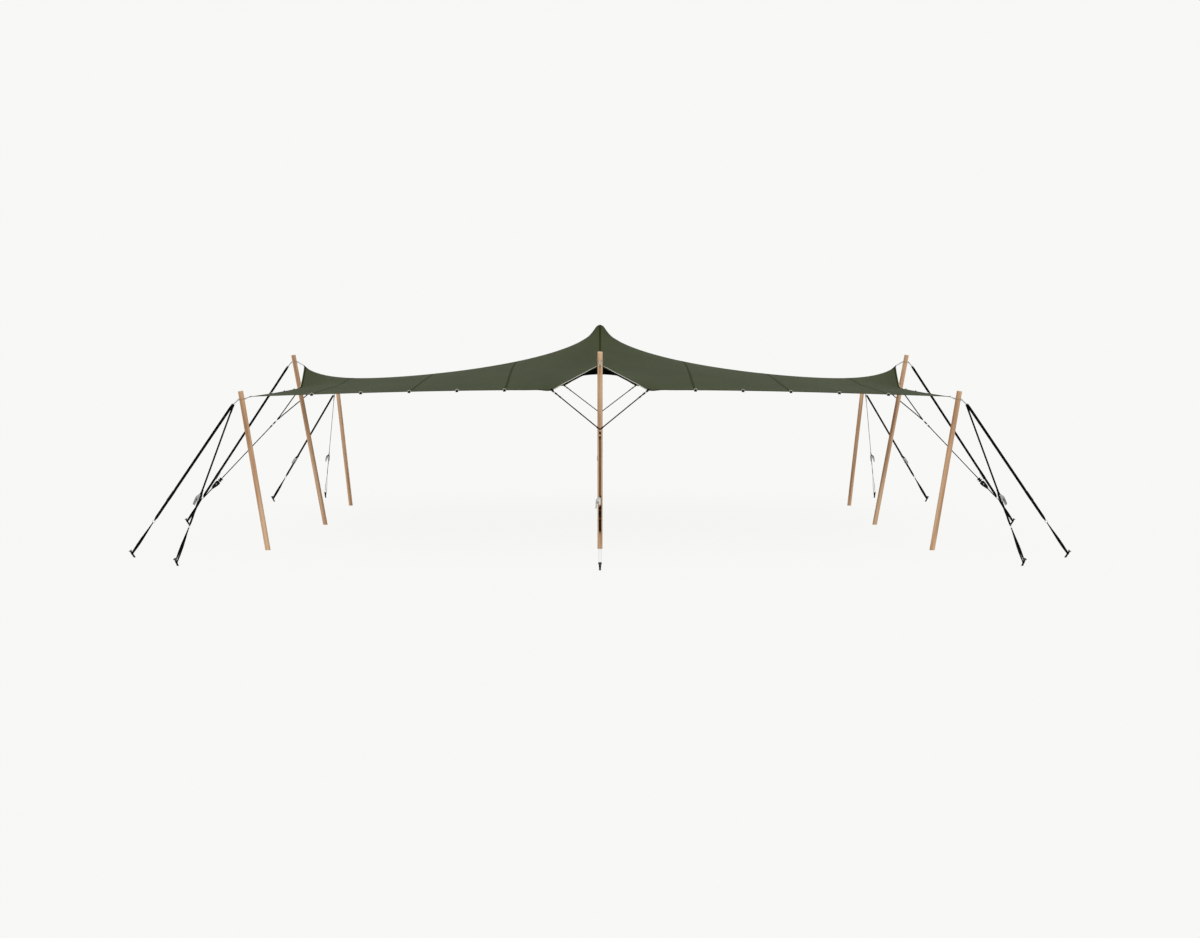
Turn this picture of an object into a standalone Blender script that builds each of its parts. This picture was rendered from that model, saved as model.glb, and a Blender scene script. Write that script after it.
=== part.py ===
"""Stretch tent, pitched: one stretched canopy over nine wooden poles, held by webbing guys to ground stakes.

Metres, +Z up. The origin is on the ground under the centre pole, X runs along the tent and Y to its back.
The tent is the same left and right, and front and back, so most sizes are given for one quarter.
"""
import math

import bmesh
import bpy
import numpy as np
from mathutils import Vector

GAP = 0.0003                    # between pieces that touch
CREASE = math.radians(50)       # faces that meet at less than this are shaded as one surface
ROPE_SIDES = 8                  # of every thin round piece
CORNERS = ((-1, -1), (1, -1), (1, 1), (-1, 1))

# Canopy, cut as a rectangle 10.5 m by 7.5 m and stretched when it is pitched
LOOP_PITCH = 0.75               # spacing of the webbing loops along the edge, on the flat
CELLS_ALONG = (8, 4, 2, 2, 2, 2, 6)
CELLS_ACROSS = (8, 4, 2, 2, 6)
PEAK_GRADING = 1.6              # how fast the cells grow away from the peak, and from the tips
TIP_GRADING = 1.35
SOLID_STEP = 2                  # of the grid lines, every second one is kept for the solid
CANOPY_THICK = 0.005
EDGE_PULL = 15                  # pull along the edge webbing, against 1 per metre in the cloth
CORNER_EASE = 0.82              # the last stretch of edge before a corner gives more
PEAK_PULL = 8.5                 # extra pull of the cloth where it runs up to the peak
PEAK_SPREAD = 0.142
PEAK_FALL = 1.3
PEAK_HEIGHT = 3.84
CORNER_TIP = Vector((5.70, 4.20, 2.542))
MIDDLE_TIP_HEIGHT = 3.061
END_TIP_X = 5.675
FRONT_TIP_Y = 4.175
BRIDLE_LOOP_SIDE = 0.787        # from the raised tip to the loop that the bridle pulls, along the edge
BRIDLE_LOOP_INSET = 0.08
BRIDLE_LOOP_HEIGHT = 2.643

# Poles
POLE_RADIUS = 0.0425
POLE_CHAMFER = 0.003
CORNER_FOOT = Vector((5.50, 4.00, 0.0))
CORNER_TOP = Vector((5.83, 4.33, 2.633))
END_FOOT_X = 5.305
FRONT_FOOT_Y = 3.81
MIDDLE_LEAN = 0.5735
MIDDLE_TOP_HEIGHT = 3.265
CAP_REACH = 0.095               # radius of the cap that carries the peak
CAP_DOME = 0.12
CAP_DEPTH = 0.115
CAP_PROFILE = ((0.0, 0.0505), (0.02, 0.0545), (0.055, CAP_REACH))  # height above its base, radius
CLEAR = 0.3                     # how far a cutter reaches past what it cuts
POLE_SIDES = 20

# Links between a pole top, the canopy tip and the guys
LINK_DROP = 0.13                # from the pole's top down to the collar, along the pole
COLLAR_ROPE = 0.009
COLLAR_GAP = 0.00036            # a little over GAP, because its facets and the pole's don't line up
ARM_RADIUS = 0.007
LINK_HOLD = 0.009               # how far the inner arm reaches past the canopy's tip
BAR_RADIUS = 0.006
BAR_HALF = 0.032
CORNER_BAR = Vector((5.928, 4.428, 2.416))
MIDDLE_BAR_OUT = 0.68           # from the pole's foot outward
MIDDLE_BAR_HEIGHT = 3.045
TWIN_SPREAD = 0.015             # half the distance between the two guys at a corner

# Ground stakes, from the ground up
STAKE_RADIUS = 0.015
STAKE_HEAD = 0.030
STAKE_HEAD_THICK = 0.010
HEAD_CHAMFER = 0.003
STAKE_LENGTH = 0.133
STAKE_LEAN = math.radians(30)
STAKE_HOLD = 0.075              # where the sling goes round, along the stake
STAKE_SIDES = 12
SIDE_STAKE = Vector((7.40, 4.957, 0.0))
FRONT_STAKE = Vector((6.425, 5.953, 0.0))
END_STAKE_X = 7.935
MIDDLE_STAKE_Y = 6.45

# Guys: 50 mm webbing that stands on edge, a ratchet, a ring and a sling round the stake
WEB_HALF = 0.025
WEB_THICK_HALF = 0.0022
WEB_GATHERED = 0.010            # half its width where it is gathered at a bar or ring
TAPER = 0.09
RATCHET_LENGTH = 0.20
RATCHET_SIDE = 0.021
HANDLE_SIDE = 0.056
RATCHET_HALF = 0.031
RATCHET_SHOULDER = 0.8          # share of its half length at which it has its full width
RING_LENGTH = 0.050
RING_SIDE = 0.006
RING_HALF = 0.025
SLING_WIDE = 0.029
SLING_SWELL = 0.15              # share of the sling at which it is widest
SLING_FORK = 0.45               # share at which its two strands part
SLING_ROWS = (0.6, 0.75, 0.9)   # shares at which the parted strands have points
SLING_BENDS = 8
SLING_GAP = 0.00045             # round the stake
SLING_HALF = 0.016
SLING_THICK = 0.004
CORNER_RING = 0.20              # of the guy's length, up from the stake
MIDDLE_RING = 0.146
CORNER_RATCHET = 0.37
MIDDLE_RATCHET = 0.29

# Bridles: two lines from the edge loops to an apex, then a strap to the ring of the guy
LEG_RADIUS = 0.006
APEX_OUT = 0.90                 # from the pole's foot outward
APEX_HEIGHT = 2.024
BRIDLE_WEB_HALF = 0.014
BRIDLE_THICK_HALF = 0.002
BRIDLE_RATCHET = (0.755, 0.870)  # shares of the way from the apex to the ring
BRIDLE_RATCHET_HALF = (0.024, 0.019)
BRIDLE_RATCHET_SLOPE = 0.02
APEX_BUCKLE = (0.020, 0.014)
APEX_BUCKLE_LENGTH = 0.07
APEX_BUCKLE_ABOVE = 0.3         # share of its length that lies above the apex
STRAP_ON_RING = 0.6             # how far below the ring's middle the strap ends, of the ring's half width


def material(name, colour, roughness, metallic=0.0):
    made = bpy.data.materials.new(name)
    made.use_nodes = True
    shader = made.node_tree.nodes["Principled BSDF"]
    shader.inputs["Base Color"].default_value = (*colour, 1.0)
    shader.inputs["Roughness"].default_value = roughness
    shader.inputs["Metallic"].default_value = metallic
    return made


def mesh_object(name, points, faces, made_of):
    """A closed body from points and faces, with its faces turned outward."""
    body = bmesh.new()
    corners = [body.verts.new(p) for p in points]
    for face in faces:
        body.faces.new([corners[i] for i in face])
    bmesh.ops.recalc_face_normals(body, faces=body.faces)
    mesh = bpy.data.meshes.new(name)
    body.to_mesh(mesh)
    body.free()
    mesh.materials.append(made_of)
    thing = bpy.data.objects.new(name, mesh)
    bpy.context.scene.collection.objects.link(thing)
    mesh.shade_smooth()
    mesh.set_sharp_from_angle(angle=CREASE)
    return thing


def combine(thing, operation, tools):
    """Join the tools to the thing, or cut them from it, and keep only the result."""
    for tool in tools:
        tool.hide_render = True
        tool.display_type = "WIRE"
        change = thing.modifiers.new(operation, "BOOLEAN")
        change.operation = operation
        change.solver = "EXACT"
        change.object = tool
    seen = thing.evaluated_get(bpy.context.evaluated_depsgraph_get())
    result = bpy.data.meshes.new_from_object(seen)
    thing.modifiers.clear()
    thing.data = result
    for tool in tools:
        bpy.data.objects.remove(tool)
    return thing


def lofted(name, rings, made_of):
    """A body through rings of points, each with the same count, closed at both ends."""
    count = len(rings[0])
    points = [p for ring in rings for p in ring]
    faces = [list(range(count)), list(range(len(points) - count, len(points)))]
    for k in range(len(rings) - 1):
        for i in range(count):
            j = (i + 1) % count
            faces.append([k * count + i, k * count + j, (k + 1) * count + j, (k + 1) * count + i])
    return mesh_object(name, points, faces, made_of)


def across(axis):
    """Two unit vectors at right angles to an axis, the first of them level."""
    level = axis.cross(Vector((0, 0, 1)))
    level = level.normalized() if level.length > 1e-6 else Vector((1, 0, 0))
    return level, level.cross(axis).normalized()


def circle(centre, axis, radius, sides):
    side, rise = across(axis)
    turns = [2 * math.pi * i / sides for i in range(sides)]
    return [centre + radius * (math.cos(t) * side + math.sin(t) * rise) for t in turns]


def tube(name, start, end, radius, made_of, sides=ROPE_SIDES):
    axis = (end - start).normalized()
    rings = [circle(start, axis, radius, sides), circle(end, axis, radius, sides)]
    return lofted(name, rings, made_of)


def levelled(ring, axis):
    """The ring's points slid along the axis down to the ground."""
    return [p - axis * (p.z / axis.z) for p in ring]


def grid_lines(cells):
    """Flat distances from the middle to the edge, closer together at the peak and at the tips."""
    lines = [0.0]
    for k, count in enumerate(cells):
        for step in range(1, count + 1):
            share = step / count
            if k == 0:
                share = share ** PEAK_GRADING
            if k == len(cells) - 1:
                share = 1 - (1 - share) ** TIP_GRADING
            lines.append(LOOP_PITCH * (k + share))
    return np.array(lines)


def cap_height(reach):
    """Height of the cloth over the cap, at this distance from the middle."""
    return PEAK_HEIGHT - CAP_DOME + math.sqrt(max(CAP_DOME ** 2 - reach ** 2, 0.0))


def canopy_quarter():
    """Where the cloth comes to rest: every grid point is pulled evenly by its neighbours.

    A link between two points pulls in proportion to its length. The tips, the loops that the bridles
    pull and the cap at the peak hold the cloth, and the webbing round the edge pulls much harder.
    """
    along, over = grid_lines(CELLS_ALONG), grid_lines(CELLS_ACROSS)
    m, n = len(along), len(over)
    flat_x, flat_y = np.meshgrid(along, over, indexing="ij")

    def widths(lines):
        steps = np.diff(lines)
        return np.append(steps, 0) / 2 + np.append(0, steps) / 2

    def pull(x, y):
        return 1 + PEAK_PULL / (1 + (np.hypot(x, y) / PEAK_SPREAD) ** PEAK_FALL)

    def edge(lines):
        ease = np.where(lines[:-1] > lines[-1] - LOOP_PITCH * 1.001, CORNER_EASE, 1.0)
        return EDGE_PULL * ease / np.diff(lines)

    pull_x = widths(over)[None, :] / np.diff(along)[:, None]
    pull_x = pull_x * pull((flat_x[1:] + flat_x[:-1]) / 2, (flat_y[1:] + flat_y[:-1]) / 2)
    pull_y = widths(along)[:, None] / np.diff(over)[None, :]
    pull_y = pull_y * pull((flat_x[:, 1:] + flat_x[:, :-1]) / 2, (flat_y[:, 1:] + flat_y[:, :-1]) / 2)
    pull_x[:, -1] += edge(along)
    pull_y[-1, :] += edge(over)

    number = np.arange(m * n).reshape(m, n)
    system = np.zeros((m * n, m * n))
    for a, b, q in ((number[:-1], number[1:], pull_x), (number[:, :-1], number[:, 1:], pull_y)):
        a, b, q = a.ravel(), b.ravel(), q.ravel()
        np.add.at(system, (a, a), q)
        np.add.at(system, (b, b), q)
        np.add.at(system, (a, b), -q)
        np.add.at(system, (b, a), -q)

    loop_along = int(np.argmin(abs(along - LOOP_PITCH)))
    loop_over = int(np.argmin(abs(over - LOOP_PITCH)))
    held = {
        number[-1, -1]: tuple(CORNER_TIP),
        number[-1, 0]: (END_TIP_X, 0.0, MIDDLE_TIP_HEIGHT),
        number[0, -1]: (0.0, FRONT_TIP_Y, MIDDLE_TIP_HEIGHT),
        number[-1, loop_over]: (END_TIP_X - BRIDLE_LOOP_INSET, BRIDLE_LOOP_SIDE, BRIDLE_LOOP_HEIGHT),
        number[loop_along, -1]: (BRIDLE_LOOP_SIDE, FRONT_TIP_Y - BRIDLE_LOOP_INSET, BRIDLE_LOOP_HEIGHT),
    }
    for i in range(m):
        for j in range(n):
            reach = math.hypot(along[i], over[j])
            if reach <= CAP_REACH:
                held[number[i, j]] = (along[i], over[j], cap_height(reach))

    rest = np.zeros((m * n, 3))
    for axis, middle in enumerate((number[0, :], number[:, 0], ())):
        fixed = {int(k): p[axis] for k, p in held.items()}
        fixed.update({int(k): 0.0 for k in middle})
        known = np.array(sorted(fixed))
        values = np.array([fixed[k] for k in known])
        free = np.setdiff1d(np.arange(m * n), known)
        rest[known, axis] = values
        rest[free, axis] = np.linalg.solve(system[np.ix_(free, free)], -system[np.ix_(free, known)] @ values)
    return rest.reshape(m, n, 3)


def whole_sheet(quarter):
    """The quarter and its mirror images, as one grid of points."""
    half = np.concatenate([(quarter * (-1, 1, 1))[:0:-1], quarter])
    return np.concatenate([(half * (1, -1, 1))[:, :0:-1], half], axis=1)


def sheet_normals(grid):
    along = np.gradient(grid, axis=0)
    over = np.gradient(grid, axis=1)
    normal = np.cross(along, over)
    return normal / np.linalg.norm(normal, axis=2)[:, :, None]


def sheet_solid(name, grid, above, below, made_of):
    """A closed sheet about a grid of points, with so much of it above and below the grid."""
    normal = sheet_normals(grid)
    m, n = grid.shape[:2]
    points = np.concatenate([(grid + above * normal).reshape(-1, 3), (grid - below * normal).reshape(-1, 3)])
    under = m * n
    faces = []
    for i in range(m - 1):
        for j in range(n - 1):
            quad = [i * n + j, (i + 1) * n + j, (i + 1) * n + j + 1, i * n + j + 1]
            faces.append([quad[0], quad[1], quad[2]])
            faces.append([quad[0], quad[2], quad[3]])
            faces.append([under + quad[0], under + quad[2], under + quad[1]])
            faces.append([under + quad[0], under + quad[3], under + quad[2]])
    rim = [i * n for i in range(m)] + [(m - 1) * n + j for j in range(1, n)]
    rim += [i * n + n - 1 for i in range(m - 2, -1, -1)] + [j for j in range(n - 2, 0, -1)]
    for a, b in zip(rim, rim[1:] + rim[:1]):
        faces.append([a, b, under + b, under + a])
    return mesh_object(name, [Vector(p) for p in points], faces, made_of)


def grown(grid, amount):
    """The grid with its rim moved outward."""
    def outward(rim, inner):
        step = rim - inner
        return amount * step / np.linalg.norm(step, axis=1)[:, None]

    wider = grid.copy()
    wider[0] += outward(grid[0], grid[1])
    wider[-1] += outward(grid[-1], grid[-2])
    wider[:, 0] += outward(grid[:, 0], grid[:, 1])
    wider[:, -1] += outward(grid[:, -1], grid[:, -2])
    return wider


def pole(name, foot, top):
    """A round pole that leans from foot to top, cut level at the ground and square at its top."""
    axis = (top - foot).normalized()
    rings = [
        levelled(circle(foot, axis, POLE_RADIUS, POLE_SIDES), axis),
        circle(top - axis * POLE_CHAMFER, axis, POLE_RADIUS, POLE_SIDES),
        circle(top, axis, POLE_RADIUS - POLE_CHAMFER, POLE_SIDES),
    ]
    return lofted(name, rings, WOOD)


def centre_pole_and_cap(sheet):
    """The upright pole, and the turned cap on it whose top takes the shape of the cloth that lies on it."""
    up = Vector((0, 0, 1))
    base = PEAK_HEIGHT - CAP_DEPTH
    pole("pole_centre", Vector((0, 0, 0)), Vector((0, 0, base - GAP)))
    rings = [circle(up * (base + rise), up, radius, POLE_SIDES) for rise, radius in CAP_PROFILE]
    rings.append(circle(up * (PEAK_HEIGHT + CANOPY_THICK), up, CAP_REACH, POLE_SIDES))
    cap = lofted("pole_centre_cap", rings, WOOD)
    above = sheet_solid("above_cap", sheet, CLEAR, CANOPY_THICK / 2 + GAP, WOOD)
    combine(cap, "DIFFERENCE", [above])


def collar(name, foot, top):
    """The rope collar round a pole, an even gap away from it all round."""
    axis = (top - foot).normalized()
    centre = top - axis * LINK_DROP
    half_side = math.pi / ROPE_SIDES
    middle = POLE_RADIUS + COLLAR_GAP + COLLAR_ROPE * math.cos(half_side)
    points = []
    faces = []
    for k in range(ROPE_SIDES):
        turn = half_side * (2 * k + 1)
        reach, rise = middle + COLLAR_ROPE * math.cos(turn), COLLAR_ROPE * math.sin(turn)
        points += circle(centre + axis * rise, axis, reach, POLE_SIDES)
        here, ahead = k * POLE_SIDES, (k + 1) % ROPE_SIDES * POLE_SIDES
        for i in range(POLE_SIDES):
            j = (i + 1) % POLE_SIDES
            faces.append([here + i, here + j, ahead + j, ahead + i])
    return mesh_object(name, points, faces, STEEL), centre


def link(name, foot, top, tip, bar, sheet_cutter):
    """The collar on a pole, its arm in to the canopy's tip, and its arm out to the guys' bar."""
    body, centre = collar(name, foot, top)
    out = Vector((bar.x - centre.x, bar.y - centre.y, 0)).normalized()
    level = out.cross(Vector((0, 0, 1))).normalized()
    rope = POLE_RADIUS + COLLAR_ROPE
    inward = tip - centre
    arm_in = tube("arm_in", centre - out * rope, tip + inward.normalized() * LINK_HOLD, ARM_RADIUS, STEEL)
    arm_out = tube("arm_out", centre + out * rope, bar, ARM_RADIUS, STEEL)
    cross = tube("cross", bar - level * BAR_HALF, bar + level * BAR_HALF, BAR_RADIUS, STEEL)
    combine(body, "UNION", [arm_in, arm_out, cross])
    combine(body, "DIFFERENCE", [copy_of(sheet_cutter)])
    return body


def copy_of(thing):
    twin = thing.copy()
    twin.data = thing.data.copy()
    bpy.context.scene.collection.objects.link(twin)
    return twin


def stake(name, toe, away):
    """A steel bar driven at a slant, its flat head up and away from the tent, from the ground up."""
    axis = stake_axis(away)
    head = toe + axis * (STAKE_LENGTH - STAKE_HEAD_THICK)
    end = toe + axis * STAKE_LENGTH
    rings = [
        levelled(circle(toe, axis, STAKE_RADIUS, STAKE_SIDES), axis),
        circle(head, axis, STAKE_RADIUS, STAKE_SIDES),
        circle(head, axis, STAKE_HEAD, STAKE_SIDES),
        circle(end - axis * HEAD_CHAMFER, axis, STAKE_HEAD, STAKE_SIDES),
        circle(end, axis, STAKE_HEAD - HEAD_CHAMFER, STAKE_SIDES),
    ]
    return lofted(name, rings, DARK_STEEL)


def stake_axis(away):
    return (away * math.sin(STAKE_LEAN) + Vector((0, 0, math.cos(STAKE_LEAN)))).normalized()


class Plan:
    """A flat pattern that is given a width: each of its points stands for one point on either face."""

    def __init__(self):
        self.points = []
        self.faces = []

    def put(self, place, spread):
        self.points += [place + spread, place - spread]
        return len(self.points) // 2 - 1

    def strip(self, rows):
        for (a, b), (c, d) in zip(rows, rows[1:]):
            self.faces.append([a, b, d, c])

    def solid(self, name, made_of):
        """The pattern's two faces, and a wall wherever only one of its faces meets an edge."""
        meets = {}
        faces = []
        for face in self.faces:
            faces.append([2 * k for k in face])
            faces.append([2 * k + 1 for k in reversed(face)])
            for edge in zip(face, face[1:] + face[:1]):
                key = tuple(sorted(edge))
                meets[key] = meets.get(key, 0) + 1
        for (a, b), times in meets.items():
            if times == 1:
                faces.append([2 * a, 2 * b, 2 * b + 1, 2 * a + 1])
        return mesh_object(name, self.points, faces, made_of)


def between(low, high, share):
    return low + (high - low) * min(max(share, 0.0), 1.0)


def sling_reach(share):
    """Half the sling's breadth: it swells below the ring and closes on the stake."""
    if share < SLING_SWELL:
        return between(RING_SIDE, SLING_WIDE, share / SLING_SWELL)
    return between(SLING_WIDE, STAKE_RADIUS + SLING_THICK, (share - SLING_SWELL) / (1 - SLING_SWELL))


def sling_tall(share):
    """Half the width of the sling's webbing, which is gathered at the ring and at the stake."""
    if share < SLING_SWELL:
        return between(WEB_GATHERED, WEB_HALF, share / SLING_SWELL)
    return between(WEB_HALF, SLING_HALF, (share - SLING_SWELL) / (1 - SLING_SWELL))


def guy_line(bar, toe, step, handle_to):
    """A guy's ends and length, the directions down it, to its handle and square to both, and its stake's."""
    away = Vector((toe.x - bar.x, toe.y - bar.y, 0)).normalized()
    post = stake_axis(away)
    start, end = bar + step, toe + post * STAKE_HOLD
    length = (end - start).length
    down = (end - start) / length
    side = down.cross(Vector((0, 0, 1))).normalized()
    if side.dot(handle_to) < 0:
        side = -side
    normal = side.cross(down)
    return start, end, length, down, side, normal if normal.z > 0 else -normal, post


def guy(name, line, ring, ratchet, hold):
    """One guy: webbing on edge, ratchet, ring, and the sling round its stake, as one straight solid."""
    start, end, length, down, side, normal, post = line
    half, quarter = RATCHET_LENGTH / 2, RATCHET_LENGTH / 4
    plan = Plan()

    def row(at, left, right, tall):
        middle = start + down * at
        return plan.put(middle + side * left, normal * tall), plan.put(middle - side * right, normal * tall)

    thin = WEB_THICK_HALF
    rows = [
        row(BAR_RADIUS / 2, thin, thin, WEB_GATHERED),
        row(TAPER, thin, thin, WEB_HALF),
        row(ratchet - half, thin, thin, WEB_HALF),
        row(ratchet - half * RATCHET_SHOULDER, HANDLE_SIDE / 2, RATCHET_SIDE, RATCHET_HALF),
        row(ratchet - quarter, HANDLE_SIDE, RATCHET_SIDE, RATCHET_HALF),
        row(ratchet + quarter, HANDLE_SIDE, RATCHET_SIDE, RATCHET_HALF),
        row(ratchet + half * RATCHET_SHOULDER, HANDLE_SIDE / 2, RATCHET_SIDE, RATCHET_HALF),
        row(ratchet + half, thin, thin, WEB_HALF),
        row(ring - RING_LENGTH / 2 - TAPER, thin, thin, WEB_HALF),
        row(ring - RING_LENGTH / 2, RING_SIDE, RING_SIDE, WEB_GATHERED),
        row(ring - RING_LENGTH / 4, RING_SIDE, RING_SIDE, RING_HALF),
        row(ring + RING_LENGTH / 4, RING_SIDE, RING_SIDE, RING_HALF),
        row(ring + RING_LENGTH / 2, RING_SIDE, RING_SIDE, WEB_GATHERED),
    ]
    below = ring + RING_LENGTH / 2
    sling = length - below
    for share in (SLING_SWELL / 2, SLING_SWELL, 2 * SLING_SWELL):
        reach = sling_reach(share)
        rows.append(row(below + sling * share, reach, reach, sling_tall(share)))
    plan.strip(rows)

    inner = STAKE_RADIUS + SLING_GAP
    outer = inner + SLING_THICK
    past = side.cross(post)
    past = past if past.dot(down) > 0 else -past
    upright = post if post.dot(normal) > 0 else -post

    def strand(share, way):
        """The outer and inner point of one strand, which leans over to lie along the stake."""
        spread = normal.lerp(upright, share).normalized() * sling_tall(share)
        middle = start + down * (below + sling * share)
        reach = sling_reach(share)
        opened = inner * (share - SLING_FORK) / (1 - SLING_FORK)
        return plan.put(middle + side * way * reach, spread), plan.put(middle + side * way * opened, spread)

    def bend(turn):
        """The outer and inner point of the sling where it goes round the stake."""
        out = math.cos(turn) * side + math.sin(turn) * past
        spread = upright * SLING_HALF
        return plan.put(end + out * outer, spread), plan.put(end + out * inner, spread)

    loop = [strand(share, 1) for share in SLING_ROWS]
    loop += [bend(math.pi * k / SLING_BENDS) for k in range(SLING_BENDS + 1)]
    loop += [strand(share, -1) for share in reversed(SLING_ROWS)]
    plan.strip(loop)
    fork = plan.put(start + down * (below + sling * SLING_FORK), normal * sling_tall(SLING_FORK))
    left, right = rows[-1]
    plan.faces += [
        [left, right, fork],
        [left, fork, loop[0][1], loop[0][0]],
        [fork, right, loop[-1][0], loop[-1][1]],
    ]
    return combine(plan.solid(name, WEBBING), "DIFFERENCE", [hold])


def bridle(name, loops, apex, ring, ring_cutter, sheet_cutter):
    """Two lines from the canopy's edge to a buckle, and a strap with a ratchet from there to the ring."""
    length = (ring - apex).length
    down = (ring - apex) / length
    level = down.cross(Vector((0, 0, 1))).normalized()
    normal = level.cross(down).normalized()

    def slab(at, wide, thick):
        middle = apex + down * at
        return [middle + level * wide * a + normal * thick * b for a, b in CORNERS]

    wide, thick = BRIDLE_WEB_HALF, BRIDLE_THICK_HALF
    first, last = (share * length for share in BRIDLE_RATCHET)
    rings = [
        slab(-APEX_BUCKLE_LENGTH * APEX_BUCKLE_ABOVE, *APEX_BUCKLE),
        slab(APEX_BUCKLE_LENGTH * (1 - APEX_BUCKLE_ABOVE), *APEX_BUCKLE),
        slab(APEX_BUCKLE_LENGTH, wide, thick),
        slab(first, wide, thick),
        slab(first + BRIDLE_RATCHET_SLOPE, *BRIDLE_RATCHET_HALF),
        slab(last - BRIDLE_RATCHET_SLOPE, *BRIDLE_RATCHET_HALF),
        slab(last, wide, thick),
        slab(length, wide, thick),
    ]
    body = lofted(name, rings, WEBBING)
    legs = []
    for loop in loops:
        reach = (loop - apex).normalized()
        legs.append(tube("leg", apex, loop + reach * LINK_HOLD, LEG_RADIUS, WEBBING))
    combine(body, "UNION", legs)
    return combine(body, "DIFFERENCE", [copy_of(sheet_cutter), ring_cutter])


def ring_block(line, ring):
    """The space that a guy's ring takes up, with the gap round it."""
    start, _, _, down, side, normal, _ = line
    centre = start + down * ring
    ends = []
    for along in (-RING_LENGTH / 2 - GAP, RING_LENGTH / 2 + GAP):
        ends.append([
            centre + down * along + side * a * (RING_SIDE + GAP) + normal * b * (RING_HALF + GAP)
            for a, b in CORNERS
        ])
    return lofted("ring_block", ends, STEEL)


def bar_hold(bar, out):
    """The space that a link's bar takes up, with the gap round it."""
    level = Vector((-out.y, out.x, 0))
    reach = level * BAR_HALF * 2
    return tube("hold", bar - reach, bar + reach, BAR_RADIUS + GAP, STEEL, sides=2 * ROPE_SIDES)


def put_up_corner(row, column, sx, sy, sheet_cutter):
    """A corner: pole, link, two guys that spread apart, and their stakes."""
    def here(v):
        return Vector((v.x * sx, v.y * sy, v.z))

    name = row + "_" + column
    out = here(Vector((1, 1, 0)).normalized())
    bar = here(CORNER_BAR)
    pole("pole_" + name, here(CORNER_FOOT), here(CORNER_TOP))
    link("link_" + name, here(CORNER_FOOT), here(CORNER_TOP), here(CORNER_TIP), bar, sheet_cutter)
    twin = here(Vector((1, -1, 0)).normalized() * TWIN_SPREAD)
    leads = (
        (name + "_side", SIDE_STAKE, twin, Vector((0, -sy, 0))),
        (name + "_" + row, FRONT_STAKE, -twin, Vector((sx, 0, 0))),
    )
    for lead, toe, step, handle_to in leads:
        line = guy_line(bar, here(toe), step, handle_to)
        ring, ratchet = (line[2] * (1 - share) for share in (CORNER_RING, CORNER_RATCHET))
        guy("guy_" + lead, line, ring, ratchet, bar_hold(bar, out))
        away = here(toe) - bar
        stake("stake_" + lead, here(toe), Vector((away.x, away.y, 0)).normalized())


def put_up_middle(name, out, foot_out, tip_out, stake_out, sheet_cutter):
    """A raised tip at the middle of a side: pole, link, guy, bridle and stake."""
    up = Vector((0, 0, 1))
    level = Vector((-out.y, out.x, 0))
    foot = out * foot_out
    top = foot + out * MIDDLE_LEAN + up * MIDDLE_TOP_HEIGHT
    bar = foot + out * MIDDLE_BAR_OUT + up * MIDDLE_BAR_HEIGHT
    pole("pole_" + name, foot, top)
    link("link_" + name, foot, top, out * tip_out + up * MIDDLE_TIP_HEIGHT, bar, sheet_cutter)
    toe = out * stake_out
    line = guy_line(bar, toe, Vector((0, 0, 0)), Vector((-1, 1, 0)))
    start, _, length, down, _, normal, _ = line
    ring = length * (1 - MIDDLE_RING)
    guy("guy_" + name, line, ring, length * (1 - MIDDLE_RATCHET), bar_hold(bar, out))
    stake("stake_" + name, toe, out)
    edge = out * (tip_out - BRIDLE_LOOP_INSET) + up * BRIDLE_LOOP_HEIGHT
    loops = [edge - level * BRIDLE_LOOP_SIDE, edge + level * BRIDLE_LOOP_SIDE]
    apex = foot + out * APEX_OUT + up * APEX_HEIGHT
    ring_side = start + down * ring - normal * RING_HALF * STRAP_ON_RING
    bridle("bridle_" + name, loops, apex, ring_side, ring_block(line, ring), sheet_cutter)


for thing in list(bpy.data.objects):
    bpy.data.objects.remove(thing)

CLOTH = material("stretch fabric", (0.076, 0.089, 0.051), 0.85)
WOOD = material("planed pole", (0.479, 0.283, 0.156), 0.7)
STEEL = material("galvanised link", (0.48, 0.50, 0.49), 0.45, 0.6)
DARK_STEEL = material("dark steel", (0.05, 0.05, 0.05), 0.5, 0.8)
WEBBING = material("black webbing", (0.003, 0.003, 0.003), 0.8)

sheet = whole_sheet(canopy_quarter()[::SOLID_STEP, ::SOLID_STEP])
sheet_solid("canopy", sheet, CANOPY_THICK / 2, CANOPY_THICK / 2, CLOTH)
reach = CANOPY_THICK / 2 + GAP
sheet_cutter = sheet_solid("sheet_cutter", grown(sheet, GAP), reach, reach, CLOTH)
centre_pole_and_cap(sheet)
for row, sy in (("front", -1), ("back", 1)):
    for column, sx in (("left", -1), ("right", 1)):
        put_up_corner(row, column, sx, sy, sheet_cutter)
for name, out in (("left", Vector((-1, 0, 0))), ("right", Vector((1, 0, 0)))):
    put_up_middle(name, out, END_FOOT_X, END_TIP_X, END_STAKE_X, sheet_cutter)
for name, out in (("front", Vector((0, -1, 0))), ("back", Vector((0, 1, 0)))):
    put_up_middle(name, out, FRONT_FOOT_Y, FRONT_TIP_Y, MIDDLE_STAKE_Y, sheet_cutter)
bpy.data.objects.remove(sheet_cutter)
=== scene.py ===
"""Stretch tent, pitched: the finish of its canopy, poles, links, guys, stakes and bridles.

Metres, +Z up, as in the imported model. The origin is on the ground under the centre pole, X runs along
the tent and Y to its back. The tent is the same left and right, and front and back.
"""
import math

import bmesh
import bpy
import numpy as np
from mathutils import Matrix, Vector


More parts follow.
